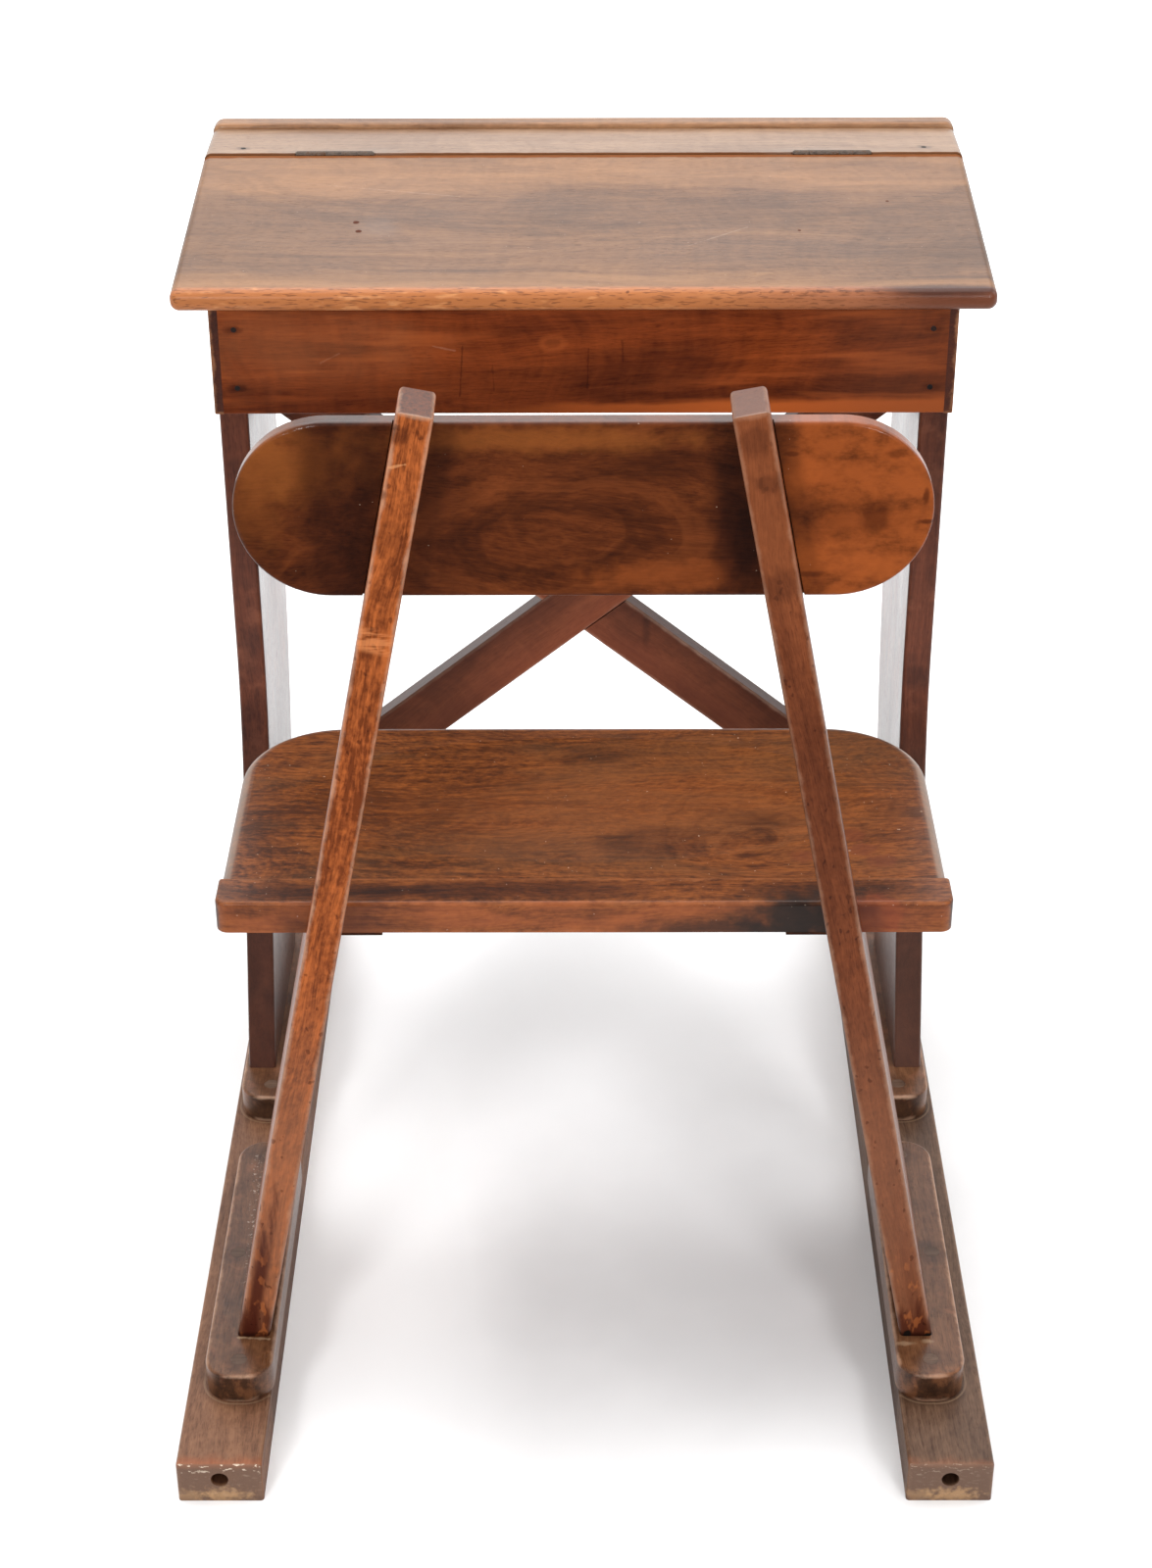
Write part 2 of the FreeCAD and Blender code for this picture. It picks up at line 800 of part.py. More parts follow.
def make_brace(name, rise, holes):
    """One board of the crossed brace. It rises to the right where rise is 1."""
    half = brace_half_height()
    corners = [
        (-desk_inner, brace_end(-rise) - half),
        (desk_inner, brace_end(rise) - half),
        (desk_inner, brace_end(rise) + half),
        (-desk_inner, brace_end(-rise) + half),
    ]
    brace = board(name + "_board", "XZ", corners, S.brace_thickness)
    ends = (-desk_inner, desk_inner)
    ease(brace, S.brace_easing, lambda edge: not any(lies_at(edge, "X", end) for end in ends))
    place(brace, 0, along(brace_setback), 0)
    under_box = block(
        name + "_box_trim",
        (-S.desk_half_width, along(S.box_setback), S.box_bottom_height),
        (S.desk_half_width * 2, S.box_depth, S.brace_width * 2),
    )
    lap_length = S.brace_width * 4
    lap_width = S.brace_width + S.joint_clearance * 2
    lap_depth = S.brace_thickness / 2 + S.joint_clearance / 2
    lap_near = brace_setback + S.brace_thickness - lap_depth
    if rise < 0:
        lap_near = brace_setback - S.cut_overrun
    turn = (Y_AXIS * rise, brace_angle)
    lap = block(
        name + "_lap",
        (
            -lap_length / 2 * cosine(brace_angle) - rise * lap_width / 2 * sine(brace_angle),
            along(lap_near),
            brace_height + rise * lap_length / 2 * sine(brace_angle)
            - lap_width / 2 * cosine(brace_angle),
        ),
        (lap_length, lap_depth + S.cut_overrun, lap_width),
        turn,
    )
    return cut(name + "_cut", brace, [under_box, lap] + holes)


def make_braces_and_desk_standards():
    spots = brace_screw_spots()
    screws, holes = fasteners("brace_screw", "screw", S.brace_screw_length, spots)
    keep("brace_screws", group("brace_screw_group", screws))
    lower_left, upper_left, lower_right, upper_right = [holes[start : start + 2] for start in (0, 2, 4, 6)]
    keep("brace_rising_right", make_brace("brace_rising_right", 1, lower_left + upper_right))
    keep("brace_rising_left", make_brace("brace_rising_left", -1, upper_left + lower_right))
    make_desk_standards(lower_left + upper_left)


def cleat_inner():
    """The distance of a cleat's inner side from the middle plane."""
    return standard_centre(seat_under) - S.seat_standard_thickness / 2 / cosine(lean) - S.cleat_width


def cleat_screw_spots():
    """Screws through each cleat into its standard, and up into the seat."""
    first = rail_far + S.cleat_inset + S.cleat_screw_inset
    second = rail_far + S.cleat_inset + S.cleat_length - S.cleat_screw_inset
    level = seat_under - S.cleat_height
    middle = cleat_inner() + S.cleat_width / 2
    into_standard = []
    into_seat = []
    for side, facing in ((LEFT, "right"), (RIGHT, "left")):
        for setback in (first, second):
            spot = (side * cleat_inner(), along(setback), seat_under - S.cleat_height / 2)
            into_standard.append((spot, facing))
        for setback in (first + S.cleat_screw_inset, second - S.cleat_screw_inset):
            into_seat.append(((side * middle, along(setback), level), "down"))
    return into_standard, into_seat


def make_cleats(standard_holes, seat_holes):
    inner = -cleat_inner()
    low = seat_under - S.cleat_height
    top_outer = inner - S.cleat_width
    low_outer = top_outer - S.cleat_height * tangent(lean)
    corners = [(low_outer, low), (inner, low), (inner, seat_under), (top_outer, seat_under)]
    cleat = board("seat_cleat", "XZ", corners, S.cleat_length)
    place(cleat, 0, along(rail_far + S.cleat_inset), 0)
    keep_pair("seat_cleat", cut("seat_cleat_cut", cleat, standard_holes + seat_holes))


def dowel_spots():
    level = seat_under + S.seat_thickness / 2
    return [(step * S.dowel_pitch, along(rail_far - S.dowel_length / 2), level) for step in (-1, 0, 1)]


def make_seat(seat_holes):
    dowels = []
    dowel_holes = []
    for number, (x, y, z) in enumerate(dowel_spots(), 1):
        dowels.append(rod(f"rail_dowel_{number}", S.dowel_radius, S.dowel_length, (x, y, z), "far"))
        dowel_holes.append(
            rod(
                f"rail_dowel_hole_{number}",
                S.dowel_radius + S.hole_clearance,
                S.dowel_length + S.hole_clearance * 2,
                (x, y - S.hole_clearance, z),
                "far",
            )
        )
    keep("rail_dowels", group("rail_dowel_group", dowels))

    shape = rounded(
        (-S.seat_half_width, along(rail_far)),
        (S.seat_half_width, along(seat_far)),
        (None, None, S.seat_corner_radius, S.seat_corner_radius),
    )
    plank = board("seat_plank", "XY", shape, S.seat_thickness)
    near_side = along(rail_far)

    def is_rim(level):
        return lambda edge: lies_at(edge, "Z", level) and not lies_at(edge, "Y", near_side)

    ease(plank, S.seat_easing, is_rim(S.seat_thickness))
    ease(plank, S.seat_under_easing, is_rim(sized(0)))
    place(plank, 0, 0, seat_under)
    half_sag = S.dish_depth / 2
    bend_across = S.dish_length * S.dish_length / (S.dish_depth * 8) + half_sag
    bend_along = S.dish_width * S.dish_width / (S.dish_depth * 8) + half_sag
    dish = doc.addObject("Part::Torus", "seat_dish")
    bind(dish, "Radius1", bend_across - bend_along)
    bind(dish, "Radius2", bend_along)
    dish_level = S.seat_height - S.dish_depth + bend_across
    place(dish, 0, along(rail_far + S.seat_depth / 2), dish_level, FACING["near"])
    dished = cut("seat_plank_dished", plank, [dish])
    keep("seat_plank", cut("seat_plank_cut", dished, dowel_holes + seat_holes))

    corner = S.rail_corner_radius
    shape = rounded(
        (-S.rail_half_length, along(upright_far)),
        (S.rail_half_length, along(rail_far)),
        (corner, corner, None, None),
    )
    rail = board("seat_rear_rail", "XY", shape, S.seat_thickness)
    far_side = along(rail_far)

    def is_top(edge):
        return lies_at(edge, "Z", S.seat_thickness) and not lies_at(edge, "Y", far_side)

    ease(rail, S.rail_easing, is_top)
    place(rail, 0, 0, seat_under)
    keep("seat_rear_rail", cut("seat_rear_rail_cut", rail, dowel_holes))


def backrest_screw_spots():
    """Two screws through the board into each upright, under pellets on the far face."""
    low = backrest_bottom + S.backrest_screw_inset
    high = backrest_bottom + S.backrest_height - S.backrest_screw_inset
    level = along(backrest_near + S.backrest_thickness - S.backrest_pellet_height)
    return [
        ((side * standard_centre(height), level, height), "far")
        for side in SIDES
        for height in (low, high)
    ]


def make_backrest():
    spots = backrest_screw_spots()
    mouth = (S.backrest_pellet_radius, S.backrest_pellet_height)
    screws, holes = fasteners("backrest_screw", "screw", S.backrest_screw_length, spots, mouth)
    keep("backrest_screws", group("backrest_screw_group", screws))
    pellets = [
        rod(f"backrest_pellet_{number}", S.backrest_pellet_radius, S.backrest_pellet_height, spot, "far")
        for number, (spot, _) in enumerate(spots, 1)
    ]
    keep("backrest_pellets", group("backrest_pellet_group", pellets))
    shape = stadium(S.backrest_half_length, backrest_bottom, S.backrest_height)
    backrest = board("backrest", "XZ", shape, S.backrest_thickness)
    faces = (sized(0), S.backrest_thickness)
    ease(backrest, S.backrest_easing, lambda edge: any(lies_at(edge, "Y", face) for face in faces))
    place(backrest, 0, along(backrest_near), 0)
    half = S.seat_standard_thickness / 2 + S.dado_clearance
    dado = leaning_block(
        "backrest_dado",
        (-half, half),
        (seat_standard_setback, upright_far),
        (sized(0), S.seat_standard_height),
    )
    grooved = cut("backrest_grooved", backrest, [dado, mirrored("backrest_dado_twin", dado)])
    keep("backrest_board", cut("backrest_cut", grooved, holes))
    return left_ones(spots, holes)


def nail_rows(setback, facing, top):
    """Nails near both ends of the box's front or back, into its sides."""
    across = S.desk_half_width - S.box_lip - S.box_nail_inset
    low = S.box_bottom_height + S.box_nail_end_inset
    return [
        ((side * across, along(setback), height), facing)
        for side in SIDES
        for height in (low, top - S.box_nail_end_inset)
    ]


def make_box():
    front_spots = nail_rows(S.box_setback, "near", lid_rest(S.box_setback))
    back_spots = nail_rows(box_far, "far", box_top)
    bottom_level = S.box_bottom_height + S.box_bottom_thickness / 2
    bottom_spots = [
        ((side * S.desk_half_width, along(setback), bottom_level), facing)
        for side, facing in ((LEFT, "left"), (RIGHT, "right"))
        for setback in (S.box_setback + S.bottom_nail_inset, box_far - S.bottom_nail_inset)
    ]
    rail_nail_across = S.desk_half_width - S.hinge_rail_nail_side_inset
    rail_nail_along = along(hinge_setback + S.hinge_rail_nail_inset)
    rail_spots = [((side * rail_nail_across, rail_nail_along, rail_top), "up") for side in SIDES]
    holes = {}
    for name, spots in (
        ("box_front_nail", front_spots),
        ("box_back_nail", back_spots),
        ("box_bottom_nail", bottom_spots),
        ("hinge_rail_nail", rail_spots),
    ):
        nails, holes[name] = fasteners(name, "nail", S.box_nail_length, spots)
        keep(name + "s", group(name + "_group", nails))
    ledge_holes = make_ledge()

    front_far = S.box_setback + S.box_front_thickness
    back_near = box_far - S.box_back_thickness
    panel_half = S.desk_half_width - S.box_lip
    low = S.box_bottom_height
    front = board(
        "box_front",
        "YZ",
        [
            (along(S.box_setback), S.box_bottom_height),
            (along(front_far), S.box_bottom_height),
            (along(front_far), lid_rest(front_far)),
            (along(S.box_setback), lid_rest(S.box_setback)),
        ],
        panel_half * 2,
    )
    near_side = along(S.box_setback)
    ease(front, S.box_easing, lambda edge: all(lies_at(edge, *at) for at in (("Y", near_side), ("Z", low))))
    place(front, -panel_half, 0, 0)
    keep("box_front", cut("box_front_cut", front, holes["box_front_nail"]))

    back = block(
        "box_back_block",
        (-panel_half, along(back_near), S.box_bottom_height),
        (panel_half * 2, S.box_back_thickness, S.box_back_height),
    )
    keep("box_back", cut("box_back_cut", back, holes["box_back_nail"] + ledge_holes))

    bottom = block(
        "box_bottom_block",
        (-desk_inner, along(front_far), S.box_bottom_height),
        (desk_inner * 2, back_near - front_far, S.box_bottom_thickness),
    )
    keep("box_bottom", cut("box_bottom_cut", bottom, holes["box_bottom_nail"]))

    side = board(
        "box_side",
        "YZ",
        [
            (along(S.box_setback), S.box_bottom_height),
            (along(box_far), S.box_bottom_height),
            (along(box_far), box_top),
            (along(hinge_setback), box_top),
            (along(hinge_setback), lid_rest(hinge_setback)),
            (along(S.box_setback), lid_rest(S.box_setback)),
        ],
        S.side_thickness,
    )
    ease(side, S.box_easing, lambda edge: lies_at(edge, "X", 0) and lies_at(edge, "Z", low))
    place(side, -S.desk_half_width, 0, 0)
    rebate_height = S.box_back_height + S.cut_overrun * 2
    rebate_low = S.box_bottom_height - S.cut_overrun
    rebates = [
        block(
            "front_rebate",
            (-panel_half, along(S.box_setback - S.cut_overrun), rebate_low),
            (S.side_thickness, S.box_front_thickness + S.cut_overrun, rebate_height),
        ),
        block(
            "back_rebate",
            (-panel_half, along(back_near), rebate_low),
            (S.side_thickness, S.box_back_thickness + S.cut_overrun, rebate_height),
        ),
    ]
    side_holes = (
        left_ones(front_spots, holes["box_front_nail"])
        + left_ones(back_spots, holes["box_back_nail"])
        + left_ones(bottom_spots, holes["box_bottom_nail"])
        + left_ones(rail_spots, holes["hinge_rail_nail"])
    )
    jointed = cut("box_side_jointed", side, rebates + top_tenons("top_mortise", S.joint_clearance))
    keep_pair("box_side", cut("box_side_cut", jointed, side_holes))
    return holes["hinge_rail_nail"]


def make_ledge():
    """The upstand along the back edge, screwed to the box back."""
    low = rail_top + S.ledge_rise - S.ledge_height
    level = (low + box_top) / 2
    spots = [
        ((step * S.ledge_screw_pitch / 2, along(box_far + S.ledge_thickness), level), "far")
        for step in (-3, -1, 1, 3)
    ]
    screws, holes = fasteners("ledge_screw", "screw", S.ledge_screw_length, spots)
    keep("ledge_screws", group("ledge_screw_group", screws))
    shape = rounded(
        (-lid_half_width, low),
        (lid_half_width, low + S.ledge_height),
        (None, None, S.ledge_corner_radius, S.ledge_corner_radius),
    )
    ledge = board("back_ledge", "XZ", shape, S.ledge_thickness)
    faces = (sized(0), S.ledge_thickness)

    def is_top(edge):
        on_face = any(lies_at(edge, "Y", face) for face in faces)
        return on_face and not lies_at(edge, "Z", low)

    ease(ledge, S.ledge_easing, is_top)
    place(ledge, 0, along(box_far), 0)
    keep("back_ledge", cut("back_ledge_cut", ledge, holes))
    return holes


def hinge_knuckle(name, slot, radius, gap):
    """A stretch of the hinge's barrel, shortened by a gap in its slot."""
    pitch = S.hinge_length / KNUCKLES
    start = -S.hinge_span - S.hinge_length / 2 + pitch * slot + gap / 2
    return rod(name, radius, pitch - gap, (start, along(hinge_setback), hinge_level), "right")


def make_leaf(name, own_slots, other_slots, near, screw_holes):
    """A leaf of the left hinge: its plate starts at a near setback and carries its own knuckles."""
    left_end = -S.hinge_span - S.hinge_length / 2
    plate = block(
        name + "_plate",
        (left_end, along(near), hinge_level - S.leaf_height),
        (S.hinge_length, S.leaf_thickness, S.leaf_height),
    )
    swing = S.knuckle_radius + S.knuckle_clearance
    room = [hinge_knuckle(f"{name}_room_{slot}", slot, swing, sized(0)) for slot in other_slots]
    barrel = [
        hinge_knuckle(f"{name}_knuckle_{slot}", slot, S.knuckle_radius, S.knuckle_gap) for slot in own_slots
    ]
    bore = rod(
        name + "_bore",
        S.hinge_pin_radius + S.hinge_pin_clearance,
        S.hinge_length + S.cut_overrun * 2,
        (left_end - S.cut_overrun, along(hinge_setback), hinge_level),
        "right",
    )
    leaf = fuse(name + "_leaf", [cut(name + "_notched", plate, room)] + barrel)
    return cut(name + "_cut", leaf, [bore] + screw_holes)


def hinge_screw_spots(setback, facing):
    level = hinge_level - S.hinge_screw_drop
    return [
        ((side * S.hinge_span + step * S.hinge_screw_pitch, along(setback), level), facing)
        for side in SIDES
        for step in (-1, 0, 1)
    ]


def hinge_seats(name, near, depth):
    """Room for the leaves and barrels of both hinges in the edge of a board."""
    slack = S.joint_clearance
    leaf_seat = block(
        name + "_leaf_seat",
        (
            -S.hinge_span - S.hinge_length / 2 - slack,
            along(near),
            hinge_level - S.leaf_height - slack,
        ),
        (S.hinge_length + slack * 2, depth, S.leaf_height * 2),
    )
    barrel_end = S.hinge_cap_length * 2
    barrel_seat = rod(
        name + "_barrel_seat",
        S.knuckle_radius + S.knuckle_clearance,
        S.hinge_length + barrel_end * 2,
        (-S.hinge_span - S.hinge_length / 2 - barrel_end, along(hinge_setback), hinge_level),
        "right",
    )
    left = fuse(name + "_seat", [leaf_seat, barrel_seat])
    return [left, mirrored(name + "_seat_twin", left)]


def make_lid_and_hinges(rail_nail_holes):
    half_gap = S.leaf_gap / 2
    rail_spots = hinge_screw_spots(hinge_setback + half_gap, "near")
    lid_spots = hinge_screw_spots(hinge_setback - half_gap, "far")
    rail_screws, rail_holes = fasteners("rail_hinge_screw", "hinge_screw", S.hinge_screw_length, rail_spots)
    lid_screws, lid_holes = fasteners("lid_hinge_screw", "hinge_screw", S.hinge_screw_length, lid_spots)
    keep("rail_hinge_screws", group("rail_hinge_screw_group", rail_screws))
    keep("lid_hinge_screws", group("lid_hinge_screw_group", lid_screws))

    fixed_slots, lid_slots = range(0, KNUCKLES, 2), range(1, KNUCKLES, 2)
    keep_pair("hinge_rail_leaf", make_leaf("rail_leaf", fixed_slots, lid_slots, hinge_setback + half_gap,
                                           left_ones(rail_spots, rail_holes)))
    keep_pair("hinge_lid_leaf", make_leaf("lid_leaf", lid_slots, fixed_slots,
                                          hinge_setback - half_gap - S.leaf_thickness,
                                          left_ones(lid_spots, lid_holes)))
    pin_start = -S.hinge_span - S.hinge_length / 2
    axis_spot = (along(hinge_setback), hinge_level)
    pin = fuse(
        "hinge_pin_shape",
        [
            rod("pin_core", S.hinge_pin_radius, S.hinge_length, (pin_start, *axis_spot), "right"),
            rod("pin_cap_left", S.hinge_cap_radius, S.hinge_cap_length, (pin_start, *axis_spot), "left"),
            rod(
                "pin_cap_right",
                S.hinge_cap_radius,
                S.hinge_cap_length,
                (pin_start + S.hinge_length, *axis_spot),
                "right",
            ),
        ],
    )
    keep_pair("hinge_pin", pin)

    rail_near = hinge_setback + S.lid_gap / 2
    leaf_depth = half_gap + S.leaf_thickness + S.joint_clearance
    shape = rounded(
        (-lid_half_width, along(rail_near)), (lid_half_width, along(box_far)), (None,) * 4
    )
    rail = board("hinge_rail", "XY", shape, S.lid_thickness)
    rail_ends = (-lid_half_width, lid_half_width)
    rail_faces = (sized(0), S.lid_thickness)

    def is_rail_end(edge):
        at_end = any(lies_at(edge, "X", end) for end in rail_ends)
        return at_end and any(lies_at(edge, "Z", face) for face in rail_faces)

    rail_gap_side = along(rail_near)

    def is_rail_gap_arris(edge):
        return lies_at(edge, "Y", rail_gap_side) and lies_at(edge, "Z", S.lid_thickness)

    ease(rail, S.lid_thickness * S.hinge_rail_easing_share, is_rail_end)
    ease(rail, S.gap_easing, is_rail_gap_arris)
    place(rail, 0, 0, box_top)
    seated = cut("hinge_rail_seated", rail, hinge_seats("hinge_rail", hinge_setback, leaf_depth))
    keep("hinge_rail", cut("hinge_rail_cut", seated, rail_nail_holes + rail_holes))

    lid_far = hinge_setback - S.lid_gap / 2
    lid_near = S.box_setback - S.lid_overhang
    drop = (lid_far - lid_near) * tangent(S.lid_slope)
    lid = board(
        "lid",
        "YZ",
        [
            (along(lid_near), box_top - drop),
            (along(lid_far), box_top),
            (along(lid_far), rail_top),
            (along(lid_near), rail_top - drop),
        ],
        lid_half_width * 2,
    )
    lid_gap_side = along(lid_far)

    def is_lid_gap_arris(edge):
        return lies_at(edge, "Y", lid_gap_side) and lies_at(edge, "Z", rail_top)

    ease(lid, S.lid_thickness * S.lid_easing_share, lambda edge: not lies_at(edge, "Y", lid_gap_side))
    ease(lid, S.gap_easing, is_lid_gap_arris)
    place(lid, -lid_half_width, 0, 0)
    seated = cut("lid_seated", lid, hinge_seats("lid", hinge_setback - leaf_depth, leaf_depth))
    keep("lid", cut("lid_cut", seated, lid_holes))


def make_seat_frame():
    standard_spots, seat_spots = cleat_screw_spots()
    cleat_screws, standard_holes = fasteners("cleat_screw", "screw", S.cleat_screw_length, standard_spots)
    seat_screws, seat_holes = fasteners("seat_screw", "screw", S.seat_screw_length, seat_spots)
    keep("cleat_screws", group("cleat_screw_group", cleat_screws))
    keep("seat_screws", group("seat_screw_group", seat_screws))
    left_standard_holes = left_ones(standard_spots, standard_holes)
    make_cleats(left_standard_holes, left_ones(seat_spots, seat_holes))
    make_seat(seat_holes)
    backrest_holes = make_backrest()
    make_seat_standards(left_standard_holes, backrest_holes)


make_skids_and_shoes()
make_braces_and_desk_standards()
make_seat_frame()
make_lid_and_hinges(make_box())
doc.recompute()

faults = [thing.Name for thing in doc.Objects if {"Invalid", "Error"} & set(thing.State)]
for label, piece in pieces.items():
    if piece.Shape.isNull() or not piece.Shape.isValid() or not piece.Shape.Solids:
        faults.append(label)
if faults:
    raise RuntimeError("failed: " + ", ".join(faults))
os.makedirs("parts", exist_ok=True)
for label, piece in pieces.items():
    piece.Shape.exportStep(f"parts/{label}.step")
    print(label, len(piece.Shape.Solids), round(piece.Shape.Volume))
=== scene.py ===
import math
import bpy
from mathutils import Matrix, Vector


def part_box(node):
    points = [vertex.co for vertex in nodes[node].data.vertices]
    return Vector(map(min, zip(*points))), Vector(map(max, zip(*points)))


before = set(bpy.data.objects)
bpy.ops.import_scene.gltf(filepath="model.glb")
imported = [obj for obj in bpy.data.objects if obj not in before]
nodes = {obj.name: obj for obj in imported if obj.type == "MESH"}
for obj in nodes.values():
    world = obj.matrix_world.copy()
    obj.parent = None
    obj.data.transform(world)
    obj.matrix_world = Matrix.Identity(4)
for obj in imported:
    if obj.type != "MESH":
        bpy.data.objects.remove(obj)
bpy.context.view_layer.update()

from types import SimpleNamespace

import bmesh
import bpy
import numpy as np
from mathutils import Matrix, Vector

scene = bpy.context.scene

X, Y, Z = Vector((1, 0, 0)), Vector((0, 1, 0)), Vector((0, 0, 1))
SIDE_NAMES = {-1: "left", 1: "right"}

# The lean of the uprights, the rise of the braces, the slope of the lid and the run of the apron's grain.
LEAN = math.radians(11)
BRACE = math.radians(38.97)
SLOPE = math.radians(5.7)
APRON_RUN = math.radians(2)

# Faces and edges of the solids, in metres in the row frame.
SHOE_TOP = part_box("seat_shoe_left")[1][2]
SKID_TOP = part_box("skid_left")[1][2]
LID_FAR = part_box("lid")[1][1]
RAIL_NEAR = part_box("hinge_rail")[0][1]
APRON_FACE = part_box("box_front")[0][1]
BACKREST_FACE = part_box("backrest_board")[0][1]
BRACE_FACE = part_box("brace_rising_left")[0][1]
SEAT_RAIL_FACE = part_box("seat_rear_rail")[0][1]
SKID_NEAR = -0.428
UPRIGHT_FACE = -0.318
SEAT_LEVEL = 0.424
SHOE_CORNER = 0.022
LINK_HOLE_HEIGHT, LINK_HOLE_RADIUS = 0.021, 0.0065

# What end grain, dirt (also used as painted shade) and open pores do to the colour of the wood.
END_GRAIN = (0.36, 0.35, 0.36, 1.0)
DIRT_AND_SHADE = (0.28, 0.22, 0.20, 1.0)
PORE_SHADE = (0.45, 0.36, 0.32, 1.0)

# The relief of the wood, and the width of a lightened edge (rubbed wear, and a painted highlight on the
# arris), in metres.
RELIEF_DEPTH = 0.0008
RUB_AND_HIGHLIGHT_WIDTH = 0.0035

# How a board's seed moves its grain along, across and through it.
SEED_START = (0.0, 0.4, 0.0)
SEED_STEP = (3.1, 1.7, 2.3)

# The layers of the grain: scales along, across and through a board, and the level of detail.
CLOUD_GRAIN = ((5.0, 11.0, 11.0), 4.0)
BAR_GRAIN = ((95.0, 16.0, 16.0), 2.0)
STREAK_GRAIN = ((5.0, 90.0, 90.0), 3.0)
LINE_GRAIN = ((13.0, 270.0, 270.0), 2.0)
FINE_GRAIN = ((40.0, 850.0, 850.0), 2.0)
GRIT_GRAIN = ((170.0, 300.0, 300.0), 3.0)
PORE_GRAIN = ((130.0, 1300.0, 1300.0), 0.0)
RINGS_PER_METRE = 110.0


def tone(red, green, blue):
    """A colour given from 0 to 255, as linear RGBA."""
    def linear(value):
        value /= 255
        return value / 12.92 if value <= 0.04045 else ((value + 0.055) / 1.055) ** 2.4
    return (linear(red), linear(green), linear(blue), 1.0)


def shades(red, green, blue, spread=0.5):
    """A dark, a middle and a light tone of one wood: the dark one is redder, the light one yellower."""
    middle = tone(red, green, blue)[:3]
    dark = [value * (1 - spread) * part for value, part in zip(middle, (1.0, 0.88, 0.80))]
    light = [value * (1 + spread) * part for value, part in zip(middle, (1.0, 1.06, 1.08))]
    return [(*shade, 1.0) for shade in (dark, middle, light)]


